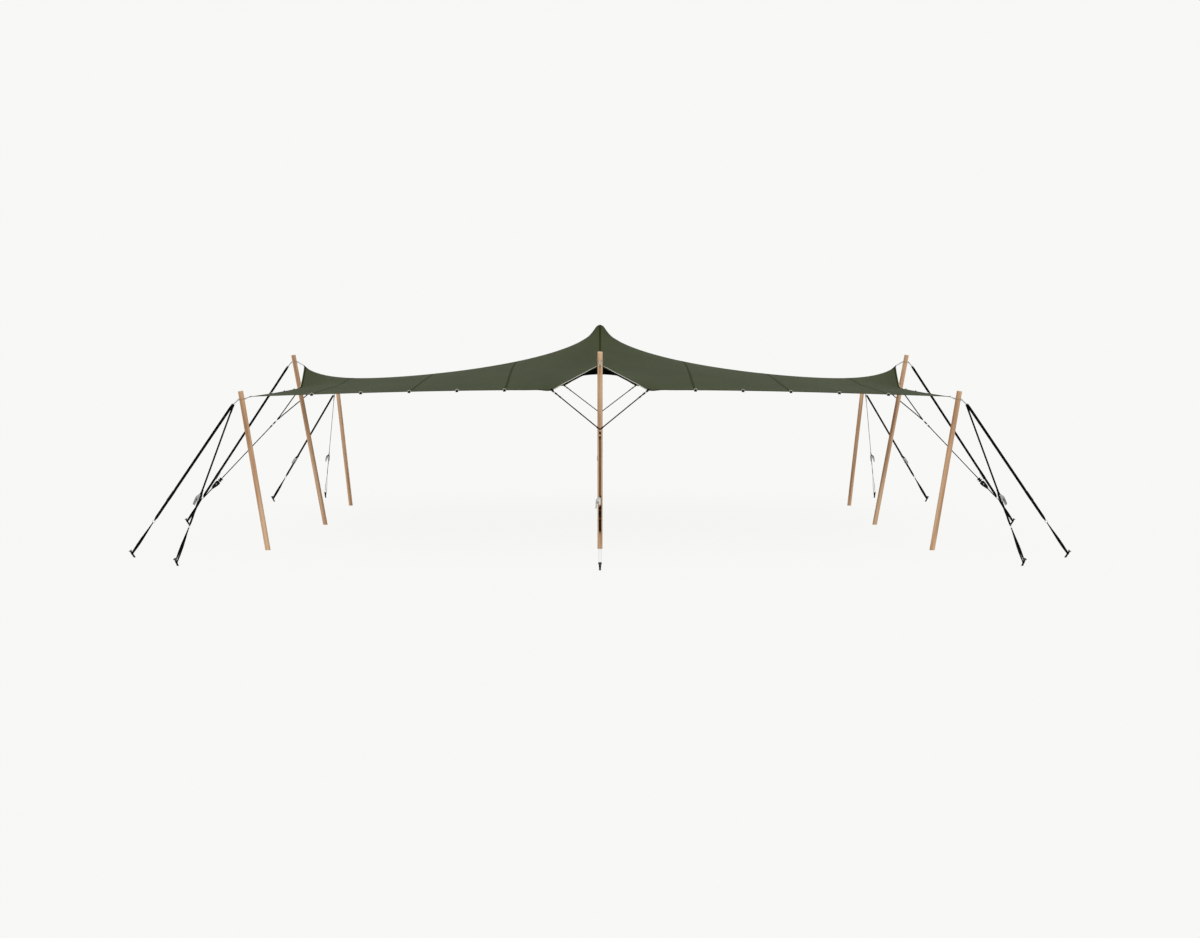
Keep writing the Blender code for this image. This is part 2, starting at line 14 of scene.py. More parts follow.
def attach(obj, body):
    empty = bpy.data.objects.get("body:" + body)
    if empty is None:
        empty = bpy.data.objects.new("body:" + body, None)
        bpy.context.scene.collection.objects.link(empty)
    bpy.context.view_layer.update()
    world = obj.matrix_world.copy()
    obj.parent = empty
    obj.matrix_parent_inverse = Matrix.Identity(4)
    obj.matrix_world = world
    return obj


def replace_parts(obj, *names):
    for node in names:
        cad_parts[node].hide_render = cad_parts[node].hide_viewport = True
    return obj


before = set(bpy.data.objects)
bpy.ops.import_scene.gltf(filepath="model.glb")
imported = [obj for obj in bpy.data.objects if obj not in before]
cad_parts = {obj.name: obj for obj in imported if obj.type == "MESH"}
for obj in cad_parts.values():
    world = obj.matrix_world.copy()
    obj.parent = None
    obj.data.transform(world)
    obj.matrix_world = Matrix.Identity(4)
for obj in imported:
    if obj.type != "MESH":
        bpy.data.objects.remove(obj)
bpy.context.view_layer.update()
UP = Vector((0, 0, 1))


# The canopy is one stretch sheet of polyester knit, coated black inside, and welded from strips 1.5 m wide
# under flat tapes. It is cut 10.5 m by 7.5 m and hangs in tension between its tips, the cap under its peak
# and the four loops that the bridles pull, so each point of it rests where its neighbours pull it evenly.
FLAT_CUT = (10.5, 7.5)
LOOP_PITCH = 0.75
CELLS_ALONG = (8, 4, 2, 2, 2, 2, 6)
CELLS_ACROSS = (8, 4, 2, 2, 6)
PEAK_GRADING = 1.6
TIP_GRADING = 1.35
EDGE_PULL = 15
CORNER_EASE = 0.82
PEAK_PULL = 8.5
PEAK_SPREAD = 0.142
PEAK_FALL = 1.3
PEAK_HEIGHT = 3.84
CAP_REACH = 0.095
CAP_DOME = 0.12
CORNER_TIP = Vector((5.70, 4.20, 2.542))
END_TIP = Vector((5.675, 0.0, 3.061))
FRONT_TIP = Vector((0.0, 4.175, 3.061))
BRIDLE_LOOP_SIDE = 0.787
BRIDLE_LOOP_INSET = 0.08
BRIDLE_LOOP_HEIGHT = 2.643
PEAK_DOME = 0.095               # radius of the cloth's dome over the cap, and how far out it reaches
PEAK_RIM = 0.080
PEAK_SKIRT = 1.43               # how steeply the cloth falls from the rim
PEAK_EASE = (0.12, 2.9)         # from this reach on it falls less and less steeply, by this much
PEAK_FREE = (0.16, 0.40)        # from the first reach to the second the cloth comes free of that shape
SEAM_SLIDE = 0.41               # how far the stretch carries a strip outward over the ridge, near the peak
SEAM_SLIDE_FROM = 0.7
SEAM_KEEPS = 0.06               # this near the middle the tape keeps its width, up to this much of the pull
SEAM_KEEPS_MOST = 2.5
CLOTH_THICK = 0.0016
LARGEST_CELL = 0.085
PEAK_CELL = 0.008
TIGHT_CELL = 0.030              # at the loops of the bridles and at the tips
PEAK_CELLS_GROW = 0.07          # by this share of the way out from the peak, and from the loops and tips
TIGHT_CELLS_GROW = 0.15
CLEAR_OF_TAPE = 0.006           # other lines keep this far from a tape's edge
TAPE_HALF = 0.017               # of a seam
HEM_WIDE = 0.030
TAPE_PROUD = 0.0013
TAPE_BEVEL = 0.003
CORNER_PATCH = 0.12
TIP_PATCH = 0.05
CREASE = math.radians(40)


def linear(colour):
    """An sRGB hex colour as linear light."""
    parts = [int(colour[k:k + 2], 16) / 255 for k in (0, 2, 4)]
    return [c / 12.92 if c <= 0.04045 else ((c + 0.055) / 1.055) ** 2.4 for c in parts] + [1.0]


def add(tree, kind, settings, links=()):
    """A shader node of this kind, with its settings and inputs by name, and with sockets linked into inputs."""
    made = tree.nodes.new("ShaderNode" + kind)
    for name, value in settings.items():
        if name in made.inputs:
            made.inputs[name].default_value = value
        else:
            setattr(made, name, value)
    for source, into in links:
        tree.links.new(source, made.inputs[into])
    return made


def surface(name, **settings):
    """A material, its node tree and its shader, which is given the settings that are the same all over."""
    made = bpy.data.materials.new(name)
    made.use_nodes = True
    shader = made.node_tree.nodes["Principled BSDF"]
    for key, value in settings.items():
        shader.inputs[key.replace("_", " ")].default_value = value
    return made, made.node_tree, shader


def coloured(tree, shader, factor, stops):
    """Colours the surface by a pattern. Each stop is a place from 0 to 1 and an sRGB hex colour."""
    ramp = add(tree, "ValToRGB", {}, [(factor, "Fac")])
    points = ramp.color_ramp.elements
    while len(points) < len(stops):
        points.new(0.5)
    for point, (place, colour) in zip(points, stops):
        point.position = place
        point.color = linear(colour)
    tree.links.new(ramp.outputs["Color"], shader.inputs["Base Color"])


def waves(tree, place, period, direction):
    """Ridges a period apart, across one direction of the place."""
    settings = {"wave_type": "BANDS", "bands_direction": direction, "Scale": math.pi / 10 / period}
    return add(tree, "TexWave", settings, [(place, "Vector")]).outputs["Fac"]


def worked(tree, kind, first, second):
    return add(tree, "Math", {"operation": kind}, [(first, 0), (second, 1)]).outputs["Value"]


def raised(tree, shader, height, depth, strength=1.0):
    """Lets a pattern stand up from the surface by this depth."""
    bump = add(tree, "Bump", {"Strength": strength, "Distance": depth}, [(height, "Height")])
    tree.links.new(bump.outputs["Normal"], shader.inputs["Normal"])


def knit(name, ridge, stops, depth, **settings):
    """Cloth with fine ribs that follow the flat cut, and shades that drift slowly from place to place."""
    made, tree, shader = surface(name, **settings)
    flat = add(tree, "UVMap", {"uv_map": "flat_cut"}).outputs["UV"]
    ribs = worked(tree, "MULTIPLY", waves(tree, flat, ridge, "X"), waves(tree, flat, ridge * 1.3, "Y"))
    drift = add(tree, "TexNoise", {"Scale": 0.7, "Detail": 6, "Roughness": 0.62}, [(flat, "Vector")])
    coloured(tree, shader, drift.outputs["Fac"], stops)
    raised(tree, shader, ribs, depth)
    return made


# Matt knit, dyed olive: no gloss, and the faint unevenness of a dyed cloth. Its ribs are 2 mm apart in
# the real cloth, and are drawn at 14 mm, because finer ones can't be seen on a tent this size.
OLIVE_KNIT = knit("olive_stretch_knit", 0.014, [(0.35, "3A402D"), (0.65, "404631")], 0.0006,
                  Roughness=0.85, Specular_IOR_Level=0.08)
# The acrylic coating inside is smoother and almost black: a dark coating, drawn darker still so that its colour
# paints the shade under the canopy.
PAINTED_SHADE_COATING = knit("black_coating_painted_shade", 0.014, [(0.3, "040503"), (0.7, "080905")], 0.0003,
                     Roughness=0.9, Specular_IOR_Level=0.0)
# Seam and hem tape is a flat woven ribbon in a darker olive, with its threads drawn at 6 mm.
OLIVE_TAPE = knit("olive_seam_tape", 0.006, [(0.3, "1F2508"), (0.7, "282E0F")], 0.0005,
                  Roughness=0.8, Specular_IOR_Level=0.08)
# The tips are backed with black polyester, which is coarse and dull.
BLACK_PATCH = knit("black_tip_patch", 0.008, [(0.3, "0C0C0B"), (0.7, "141412")], 0.0008,
                   Roughness=0.8, Specular_IOR_Level=0.1)


def grid_lines(cells):
    """Flat distances from the middle to the edge, closer together at the peak and at the tips."""
    lines = [0.0]
    for k, count in enumerate(cells):
        for step in range(1, count + 1):
            share = step / count
            if k == 0:
                share = share ** PEAK_GRADING
            if k == len(cells) - 1:
                share = 1 - (1 - share) ** TIP_GRADING
            lines.append(LOOP_PITCH * (k + share))
    return np.array(lines)


def canopy_quarter(along, over):
    """Where the points of one quarter of the cloth come to rest, from the flat lines that cross there."""
    m, n = len(along), len(over)
    flat_x, flat_y = np.meshgrid(along, over, indexing="ij")

    def widths(lines):
        steps = np.diff(lines)
        return np.append(steps, 0) / 2 + np.append(0, steps) / 2

    def pull(x, y):
        return 1 + PEAK_PULL / (1 + (np.hypot(x, y) / PEAK_SPREAD) ** PEAK_FALL)

    def edge(lines):
        ease = np.where(lines[:-1] > lines[-1] - LOOP_PITCH * 1.001, CORNER_EASE, 1.0)
        return EDGE_PULL * ease / np.diff(lines)

    pull_x = widths(over)[None, :] / np.diff(along)[:, None]
    pull_x = pull_x * pull((flat_x[1:] + flat_x[:-1]) / 2, (flat_y[1:] + flat_y[:-1]) / 2)
    pull_y = widths(along)[:, None] / np.diff(over)[None, :]
    pull_y = pull_y * pull((flat_x[:, 1:] + flat_x[:, :-1]) / 2, (flat_y[:, 1:] + flat_y[:, :-1]) / 2)
    pull_x[:, -1] += edge(along)
    pull_y[-1, :] += edge(over)

    number = np.arange(m * n).reshape(m, n)
    system = np.zeros((m * n, m * n))
    for a, b, q in ((number[:-1], number[1:], pull_x), (number[:, :-1], number[:, 1:], pull_y)):
        a, b, q = a.ravel(), b.ravel(), q.ravel()
        np.add.at(system, (a, a), q)
        np.add.at(system, (b, b), q)
        np.add.at(system, (a, b), -q)
        np.add.at(system, (b, a), -q)

    loop_along = int(np.argmin(abs(along - LOOP_PITCH)))
    loop_over = int(np.argmin(abs(over - LOOP_PITCH)))
    held = {
        number[-1, -1]: CORNER_TIP,
        number[-1, 0]: END_TIP,
        number[0, -1]: FRONT_TIP,
        number[-1, loop_over]: (END_TIP.x - BRIDLE_LOOP_INSET, BRIDLE_LOOP_SIDE, BRIDLE_LOOP_HEIGHT),
        number[loop_along, -1]: (BRIDLE_LOOP_SIDE, FRONT_TIP.y - BRIDLE_LOOP_INSET, BRIDLE_LOOP_HEIGHT),
    }
    for i in range(m):
        for j in range(n):
            reach = math.hypot(along[i], over[j])
            if reach <= CAP_REACH:
                dome = math.sqrt(CAP_DOME ** 2 - reach ** 2)
                held[number[i, j]] = (along[i], over[j], PEAK_HEIGHT - CAP_DOME + dome)

    rest = np.zeros((m * n, 3))
    for axis, middle in enumerate((number[0, :], number[:, 0], ())):
        fixed = {int(k): p[axis] for k, p in held.items()}
        fixed.update({int(k): 0.0 for k in middle})
        known = np.array(sorted(fixed))
        values = np.array([fixed[k] for k in known])
        free = np.setdiff1d(np.arange(m * n), known)
        rest[known, axis] = values
        pulled = -system[np.ix_(free, known)] @ values
        rest[free, axis] = np.linalg.solve(system[np.ix_(free, free)], pulled)
    return rest.reshape(m, n, 3)


def mirrored(lines, quarter):
    """The lines and the quarter's points, out to all four sides."""
    half = np.concatenate([(quarter * (-1, 1, 1))[:0:-1], quarter])
    whole = np.concatenate([(half * (1, -1, 1))[:, :0:-1], half], axis=1)
    return [np.concatenate([-k[:0:-1], k]) for k in lines], whole


def read_curve(lines, values, at):
    """Smooth curves through the values at these lines, read at other places along them."""
    step = np.diff(lines)
    slope = np.diff(values, axis=0) / step[:, None]
    system = np.eye(len(lines))
    for k in range(1, len(lines) - 1):
        system[k, k - 1:k + 2] = step[k - 1], 2 * (step[k - 1] + step[k]), step[k]
    turn = np.zeros_like(values)
    turn[1:-1] = 6 * np.diff(slope, axis=0)
    bend = np.linalg.solve(system, turn)
    k = np.clip(np.searchsorted(lines, at) - 1, 0, len(step) - 1)
    b = ((at - lines[k]) / step[k])[:, None]
    a = 1 - b
    bow = (a ** 3 - a) * bend[k] + (b ** 3 - b) * bend[k + 1]
    return a * values[k] + b * values[k + 1] + bow * (step[k] ** 2 / 6)[:, None]


def on_cap(reach):
    """How high the cap holds the cloth at this reach: on its dome, and on the skirt below its rim."""
    dome = PEAK_HEIGHT - PEAK_DOME + np.sqrt(PEAK_DOME ** 2 - np.minimum(reach, PEAK_RIM) ** 2)
    eased = PEAK_EASE[1] * np.maximum(reach - PEAK_EASE[0], 0) ** 2
    return dome - PEAK_SKIRT * np.maximum(reach - PEAK_RIM, 0) + eased


def slid(u, v):
    """The flat places whose cloth has slid to u: the peak draws it in, and it gives between the edges."""
    out = SEAM_SLIDE * (1 - abs(u / half_long)) ** 1.5 * (1 - np.exp(-(u / SEAM_SLIDE_FROM) ** 2))
    return u + np.sign(u) * out * abs(math.cos(math.pi * v / (2 * half_wide))) ** 1.5


def cloth_at(u, v):
    """The places and the upward normals of the cloth where flat lines cross."""
    by_u = []
    for line, row in zip(cloth_lines[1], cloth.transpose(1, 0, 2)):
        drawn_in = cloth_lines[0][len(row) // 2 + 1] / row[len(row) // 2 + 1, 0]
        keeps = (min(drawn_in, SEAM_KEEPS_MOST) - 1) * np.exp(-(u / SEAM_KEEPS) ** 2)
        by_u.append(read_curve(cloth_lines[0], row, slid(u, line) + u * keeps))
    by_v = read_curve(cloth_lines[1], np.stack(by_u).reshape(len(by_u), -1), v)
    places = by_v.reshape(len(v), len(u), 3).transpose(1, 0, 2)
    reach = np.hypot(places[:, :, 0], places[:, :, 1])
    free = np.clip((reach - PEAK_FREE[0]) / (PEAK_FREE[1] - PEAK_FREE[0]), 0, 1)
    free = free * free * (3 - 2 * free)
    places[:, :, 2] = on_cap(reach) * (1 - free) + places[:, :, 2] * free
    normals = np.cross(np.gradient(places, u, axis=0), np.gradient(places, v, axis=1))
    return places, normals / np.linalg.norm(normals, axis=2)[:, :, None]


def finer(end, edges):
    """Flat lines from edge to edge, closest where the cloth curves most, and a pair at each taped edge."""
    half = [0.0]
    while half[-1] < end:
        at = half[-1]
        tight = min(abs(at - LOOP_PITCH), end - at)
        near_peak, near_loop = PEAK_CELL + PEAK_CELLS_GROW * at, TIGHT_CELL + TIGHT_CELLS_GROW * tight
        half.append(at + min(LARGEST_CELL, near_peak, near_loop))
    half = [at * end / half[-1] for at in half[:-1]]
    spaced = [way * at for way in (-1, 1) for at in half]
    clear = [k for k in spaced if min(abs(k - e) for e in edges) > CLEAR_OF_TAPE]
    return np.array(sorted(set(clear) | set(edges) | {-end, end}))


half_long, half_wide = FLAT_CUT[0] / 2, FLAT_CUT[1] / 2
quarter_lines = grid_lines(CELLS_ALONG), grid_lines(CELLS_ACROSS)
cloth_lines, cloth = mirrored(quarter_lines, canopy_quarter(*quarter_lines))


def band(side, end, wide):
    """The lowest and highest place of a band this wide along one edge of the cloth."""
    return sorted((side * end, side * (end - wide)))


# What is taped or sewn on, as flat rectangles: lowest and highest u, lowest and highest v, its finish.
all_u, all_v = (-half_long, half_long), (-half_wide, half_wide)
seams = [2 * LOOP_PITCH * k for k in range(-3, 4)]
sewn_on = [(*all_u, *band(side, half_wide, HEM_WIDE), OLIVE_TAPE) for side in (-1, 1)]
sewn_on += [(*band(side, half_long, HEM_WIDE), *all_v, OLIVE_TAPE) for side in (-1, 1)]
sewn_on += [(seam - TAPE_HALF, seam + TAPE_HALF, *all_v, OLIVE_TAPE) for seam in seams]
for sx in (-1, 1):
    for sy in (-1, 1):
        sewn_on.append((*band(sx, half_long, CORNER_PATCH), *band(sy, half_wide, CORNER_PATCH), BLACK_PATCH))
    sewn_on.append((*band(sx, half_long, TIP_PATCH), -TIP_PATCH, TIP_PATCH, BLACK_PATCH))
    sewn_on.append((-TIP_PATCH, TIP_PATCH, *band(sx, half_wide, TIP_PATCH), BLACK_PATCH))


def bevelled(low, high, end):
    """The edges of a band, each with the line where its bevel meets the cloth."""
    inner = [k for k in (low, low - TAPE_BEVEL, high, high + TAPE_BEVEL) if abs(k) < end]
    return [round(k, 6) for k in inner]


u_edges = sorted({k for s in sewn_on for k in bevelled(s[0], s[1], half_long - 0.001)})
v_edges = sorted({k for s in sewn_on for k in bevelled(s[2], s[3], half_wide - 0.001)})
cloth_u, cloth_v = finer(half_long, u_edges), finer(half_wide, v_edges)
places, normals = cloth_at(cloth_u, cloth_v)
proud = np.zeros(places.shape[:2])
finish = np.zeros((len(cloth_u) - 1, len(cloth_v) - 1), int)
cloth_finishes = [OLIVE_KNIT, PAINTED_SHADE_COATING, OLIVE_TAPE, BLACK_PATCH]
for low_u, high_u, low_v, high_v, sewn in sewn_on:
    in_u = (cloth_u > low_u - 1e-5) & (cloth_u < high_u + 1e-5)
    in_v = (cloth_v > low_v - 1e-5) & (cloth_v < high_v + 1e-5)
    proud[np.ix_(in_u, in_v)] = TAPE_PROUD
    cells = np.ix_(in_u[1:] | in_u[:-1], in_v[1:] | in_v[:-1])
    finish[cells] = cloth_finishes.index(sewn)

m, n = len(cloth_u), len(cloth_v)
rise = (CLOTH_THICK / 2 + proud)[:, :, None] * normals
number = np.arange(m * n).reshape(m, n)
# Both faces of the cloth are cut into the same triangles, or the lower one would show through where it twists.
a, b, c, d = number[:-1, :-1], number[1:, :-1], number[1:, 1:], number[:-1, 1:]
outer = np.outer(cloth_u[1:] + cloth_u[:-1], cloth_v[1:] + cloth_v[:-1])[:, :, None] > 0
halves = [np.where(outer, np.stack(one, axis=2), np.stack(other, axis=2))
          for one, other in (((a, b, c), (a, b, d)), ((a, c, d), (b, c, d)))]
triangles = np.stack(halves, axis=2).reshape(-1, 3)
rim = [*number[:-1, 0], *number[-1, :-1], *number[:0:-1, -1], *number[0, :0:-1]]
walls = [[b, a, a + m * n, b + m * n] for a, b in zip(rim, rim[1:] + rim[:1])]
mesh = bpy.data.meshes.new("canopy_cloth")
mesh.from_pydata(
    np.concatenate([(places + rise).reshape(-1, 3), (places - rise).reshape(-1, 3)]).tolist(),
    [],
    triangles.tolist() + (triangles[:, ::-1] + m * n).tolist() + walls,
)
for kind in cloth_finishes:
    mesh.materials.append(kind)
# The lower face takes the near-black coating, whose colour paints the shade under the canopy.
below = np.where(finish == 0, 1, finish)
tape = cloth_finishes.index(OLIVE_TAPE)
shown = [np.repeat(kinds.ravel(), 2) for kinds in (finish, below)] + [[tape] * len(walls)]
mesh.polygons.foreach_set("material_index", np.concatenate(shown))
flat = np.stack(np.meshgrid(cloth_u, cloth_v, indexing="ij"), axis=2).reshape(-1, 2)
corner = np.zeros(len(mesh.loops), int)
mesh.loops.foreach_get("vertex_index", corner)
mesh.uv_layers.new(name="flat_cut").data.foreach_set("uv", flat[corner % (m * n)].ravel())
mesh.shade_smooth()
mesh.set_sharp_from_angle(angle=CREASE)
canopy = bpy.data.objects.new("canopy_cloth", mesh)
bpy.context.scene.collection.objects.link(canopy)
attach(canopy, "root")
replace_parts(canopy, "canopy")


# A pale cord runs in the hem and carries the pull from loop to loop. It is a plaited polyester cord, 8 mm
# thick, and it comes out on top of the hem only beside each raised tip, from there to the bridle's loops.
CORD_RADIUS = 0.0040
CORD_OUT = -0.002
CORD_UP = 0.005
CORD_FROM_TIP = 0.05


def loft(rings, closed=False):
    """Points and faces through rings of points, each with the same count, closed at its ends or in a loop."""
    count = len(rings[0])
    points = [p for ring in rings for p in ring]
    faces = []
    for k in range(len(rings) if closed else len(rings) - 1):
        here, ahead = k * count, (k + 1) % len(rings) * count
        for i in range(count):
            j = (i + 1) % count
            faces.append([here + i, here + j, ahead + j, ahead + i])
    if not closed:
        faces += [list(range(count)), list(range(len(points) - count, len(points)))]
    return points, faces


def squared(path, k, side, closed):
    """Two axes square to a path at one of its points, the first of them toward the side."""
    before = path[k - 1] if closed or k else path[k]
    after = path[(k + 1) % len(path)] if closed or k < len(path) - 1 else path[k]
    ahead = (after - before).normalized()
    first = (side - ahead * side.dot(ahead)).normalized()
    return first, ahead.cross(first)


def swept(path, outline, side, closed=False):
    """A body along a path. The outline's first axis points to the side, and both may change along it."""
    rings = []
    for k, place in enumerate(path):
        first, second = squared(path, k, side[k] if isinstance(side, list) else side, closed)
        shape = outline[k] if isinstance(outline[0], list) else outline
        rings.append([place + first * a + second * b for a, b in shape])
    return loft(rings, closed)


def round_outline(radius, sides=8):
    turns = [2 * math.pi * k / sides for k in range(sides)]
    return tuple((radius * math.cos(t), radius * math.sin(t)) for t in turns)


def piece(name, parts, place=None, crease=CREASE):
    """One object from parts, each made of points and faces, and its material, placed in the tent."""
    shape = bmesh.new()
    finishes = []
    for (points, faces), kind in parts:
        if kind not in finishes:
            finishes.append(kind)
        corners = [shape.verts.new(p) for p in points]
        for face in faces:
            shape.faces.new([corners[i] for i in face]).material_index = finishes.index(kind)
    bmesh.ops.recalc_face_normals(shape, faces=shape.faces)
    made_mesh = bpy.data.meshes.new(name)
    shape.to_mesh(made_mesh)
    shape.free()
    for kind in finishes:
        made_mesh.materials.append(kind)
    made_mesh.shade_smooth()
    made_mesh.set_sharp_from_angle(angle=crease)
    made = bpy.data.objects.new(name, made_mesh)
    bpy.context.scene.collection.objects.link(made)
    made.matrix_world = place or Matrix()
    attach(made, "root")
    return made


def made_of(kind, bodies):
    return [(body, kind) for body in bodies]


def plaited(name, period, stops, **settings):
    """Cord, rope or cable: a fine slanting plait in the object's own space."""
    made, tree, shader = surface(name, **settings)
    place = add(tree, "TexCoord", {}).outputs["Object"]
    plait = waves(tree, place, period, "DIAGONAL")
    coloured(tree, shader, plait, stops)
    raised(tree, shader, plait, 0.0006)
    return made


# Undyed polyester: off-white, satin, its plait drawn at 12 mm against 4 mm in the real cord.
PALE_CORD = plaited("pale_polyester_cord", 0.012, [(0.2, "C4C3B7"), (0.8, "D2D1C6")],
                    Roughness=0.6, Specular_IOR_Level=0.3)

runs = [[]]
for k in rim:
    i, j = divmod(int(k), n)
    u, v = abs(cloth_u[i]), abs(cloth_v[j])
    if not CORD_FROM_TIP < min(u, v) < LOOP_PITCH:
        runs.append([])
    else:
        out = places[i, j] - places[min(max(i, 1), m - 2), min(max(j, 1), n - 2)]
        at = places[i, j] + out / np.linalg.norm(out) * CORD_OUT + normals[i, j] * CORD_UP
        runs[-1].append((Vector(at), Vector(normals[i, j])))
cords = [swept([at for at, up in run], round_outline(CORD_RADIUS), [up for at, up in run])
         for run in runs if len(run) > 1]
edge_cord = piece("canopy_edge_cord", made_of(PALE_CORD, cords))


# Webbing loops are sewn over the hem at every half strip. Each is a piece of black polyester webbing, folded
# over the edge and stitched through the hem. It holds a pale steel ring on top, and hangs below as an eye.
TAB_HALF = 0.022
TAB_THICK_HALF = 0.0012
TAB_IN = 0.055
TAB_HANG = 0.021
HEM_RING = (0.024, 0.014)       # half its length and height
HEM_RING_WIRE = 0.0042
HEM_RING_LEAN = math.radians(42)
TAB_OFF = CLOTH_THICK / 2 + TAPE_PROUD + TAB_THICK_HALF


def strap_outline(w, t):
    """A webbing's section from half its width and thickness, with its selvedges rounded."""
    bevel = min(t * 0.7, w * 0.3)
    return [(w - bevel, t), (w, t - bevel), (w, bevel - t), (w - bevel, -t),
            (bevel - w, -t), (-w, bevel - t), (-w, t - bevel), (bevel - w, t)]


def woven(name, stops, **settings):
    """Webbing in the object's own space: ribs across its length, and a warp along it."""
    made, tree, shader = surface(name, **settings)
    place = add(tree, "TexCoord", {}).outputs["Object"]
    ribs = worked(tree, "MULTIPLY", waves(tree, place, 0.010, "X"), waves(tree, place, 0.007, "Z"))
    coloured(tree, shader, ribs, stops)
    raised(tree, shader, ribs, 0.0008)
    return made


# Black polyester webbing: dull, with a faint shine on its ribs. They are 2 mm apart and drawn at 10 mm.
BLACK_WEBBING = woven("black_polyester_webbing", [(0.0, "020202"), (1.0, "0A0A0A")],
                      Roughness=0.7, Specular_IOR_Level=0.05)


def roughened(tree, shader, factor, low, high):
    rough = add(tree, "MapRange", {"To Min": low, "To Max": high}, [(factor, "Value")])
    tree.links.new(rough.outputs["Result"], shader.inputs["Roughness"])


def metal(name, stops, grain, depth, low, high, **settings):
    """Metal with a mottled surface, whose grain also shows in how rough it is."""
    made, tree, shader = surface(name, **(settings or {"Metallic": 1.0}))
    place = add(tree, "TexCoord", {}).outputs["Object"]
    mottle = add(tree, "TexNoise", {"Scale": 1 / grain, "Detail": 6, "Roughness": 0.65}, [(place, "Vector")])
    coloured(tree, shader, mottle.outputs["Fac"], stops)
    roughened(tree, shader, mottle.outputs["Fac"], low, high)
    raised(tree, shader, mottle.outputs["Fac"], depth)
    return made


# Nickel-plated steel, worn to a pale satin.
NICKELLED = metal("nickel_plated_steel", [(0.3, "A4A5A0"), (0.7, "C0C1BC")], 0.012, 0.0002, 0.3, 0.5)


def doubled(half, start=0.0):
    """A whole outline from the half of it above its axis."""
    return [(start + x, y) for x, y in half] + [(start + x, -y) for x, y in reversed(half)]


def tab(edge, out, normal, half_width, inward, reach):
    """A loop of webbing folded over an edge of the cloth, standing out from it by its reach."""
    along = out.cross(normal).normalized()
    fold = doubled([(-inward, TAB_OFF), (-inward * 0.5, TAB_OFF), (-0.002, TAB_OFF + 0.0006),
                    (reach * 0.55, TAB_OFF + 0.0012), (reach * 0.9, TAB_OFF), (reach, TAB_OFF * 0.4)])
    path = [edge + out * a + normal * b for a, b in fold]
    return swept(path, strap_outline(half_width, TAB_THICK_HALF), along)


def hanging_eye(edge, out, normal):
    """The webbing of one loop: over the hem from above, down below the edge, and back up to its underside."""
    path = [edge - out * a + normal * TAB_OFF for a in (TAB_IN, 0.030, 0.012)]
    path += [edge + out * 0.004 + normal * (TAB_OFF + 0.001), edge + out * 0.011 - UP * 0.005]
    path += [edge + out * a - UP * TAB_HANG * b
             for a, b in ((0.013, 0.5), (0.012, 0.85), (0.007, 1.0), (0.002, 0.85), (0.001, 0.4))]
    path += [edge - out * 0.008 - normal * (TAB_OFF + 0.001)]
    path += [edge - out * a - normal * TAB_OFF for a in (0.030, TAB_IN)]
    return swept(path, strap_outline(TAB_HALF, TAB_THICK_HALF), out.cross(normal).normalized())


def hem_ring(edge, out, normal):
    """The oval ring under the webbing, which leans back over the hem."""
    along = out.cross(normal).normalized()
    back = normal * math.sin(HEM_RING_LEAN) - out * math.cos(HEM_RING_LEAN)
    centre = edge - out * 0.004 + normal * 0.004 + back * (HEM_RING[1] - 0.006)
    path = [centre + along * a * HEM_RING[0] + back * b * HEM_RING[1] for a, b in round_outline(1.0, 28)]
    return swept(path, round_outline(HEM_RING_WIRE), along.cross(back), closed=True)


def edge_place(u, v):
    """A place on the cloth's edge, the direction out of the cloth there, and its normal."""
    def lines(at, end, step=0.01):
        if abs(abs(at) - end) < 1e-6:
            return np.array(sorted((at, at - math.copysign(step, at))))
        return np.array((at - step, at, at + step))

    us, vs = lines(u, half_long), lines(v, half_wide)
    near, up = cloth_at(us, vs)
    i, j = int(np.argmin(abs(us - u))), int(np.argmin(abs(vs - v)))
    out = Vector(near[i, j] - near.reshape(-1, 3).mean(axis=0))
    normal = Vector(up[i, j])
    return Vector(near[i, j]), (out - normal * out.dot(normal)).normalized(), normal


pairs = [(k, side) for k in range(-6, 7) for side in (-1, 1) if abs(k) > 1]
tabs = [edge_place(k * LOOP_PITCH, side * half_wide) for k, side in pairs]
tabs += [edge_place(side * half_long, k * LOOP_PITCH) for k, side in pairs if abs(k) < 5]
parts = made_of(BLACK_WEBBING, [hanging_eye(*at) for at in tabs])
parts += made_of(NICKELLED, [hem_ring(*at) for at in tabs])
edge_loops = piece("canopy_edge_loops", parts)
tips = [edge_place(sx * half_long, sy * half_wide) for sx in (-1, 1) for sy in (-1, 1)]
tips += [edge_place(sx * half_long, 0.0) for sx in (-1, 1)]
tips += [edge_place(0.0, sy * half_wide) for sy in (-1, 1)]
parts = made_of(BLACK_WEBBING, [tab(*at, half_width=0.011, inward=0.06, reach=0.012) for at in tips])
tip_loops = piece("canopy_tip_loops", parts)


# Nine round poles of planed softwood, 85 mm thick, oiled. The eight outer ones lean out and stand straight
# on the ground. The upright one in the middle carries the peak on a turned cap.
POLE_RADIUS = 0.0425
POLE_SIDES = 40
POLE_EASE = 0.003               # the rounding of a sawn end
CORNER_FOOT = Vector((5.50, 4.00, 0.0))
CORNER_TOP = Vector((5.83, 4.33, 2.633))
END_FOOT_X = 5.305
FRONT_FOOT_Y = 3.81
MIDDLE_LEAN = 0.5735
MIDDLE_TOP_HEIGHT = 3.265
CAP_DEPTH = 0.115
CAP_INSIDE = 0.074              # its reach at the rim, inside the cloth
GAP = 0.0003


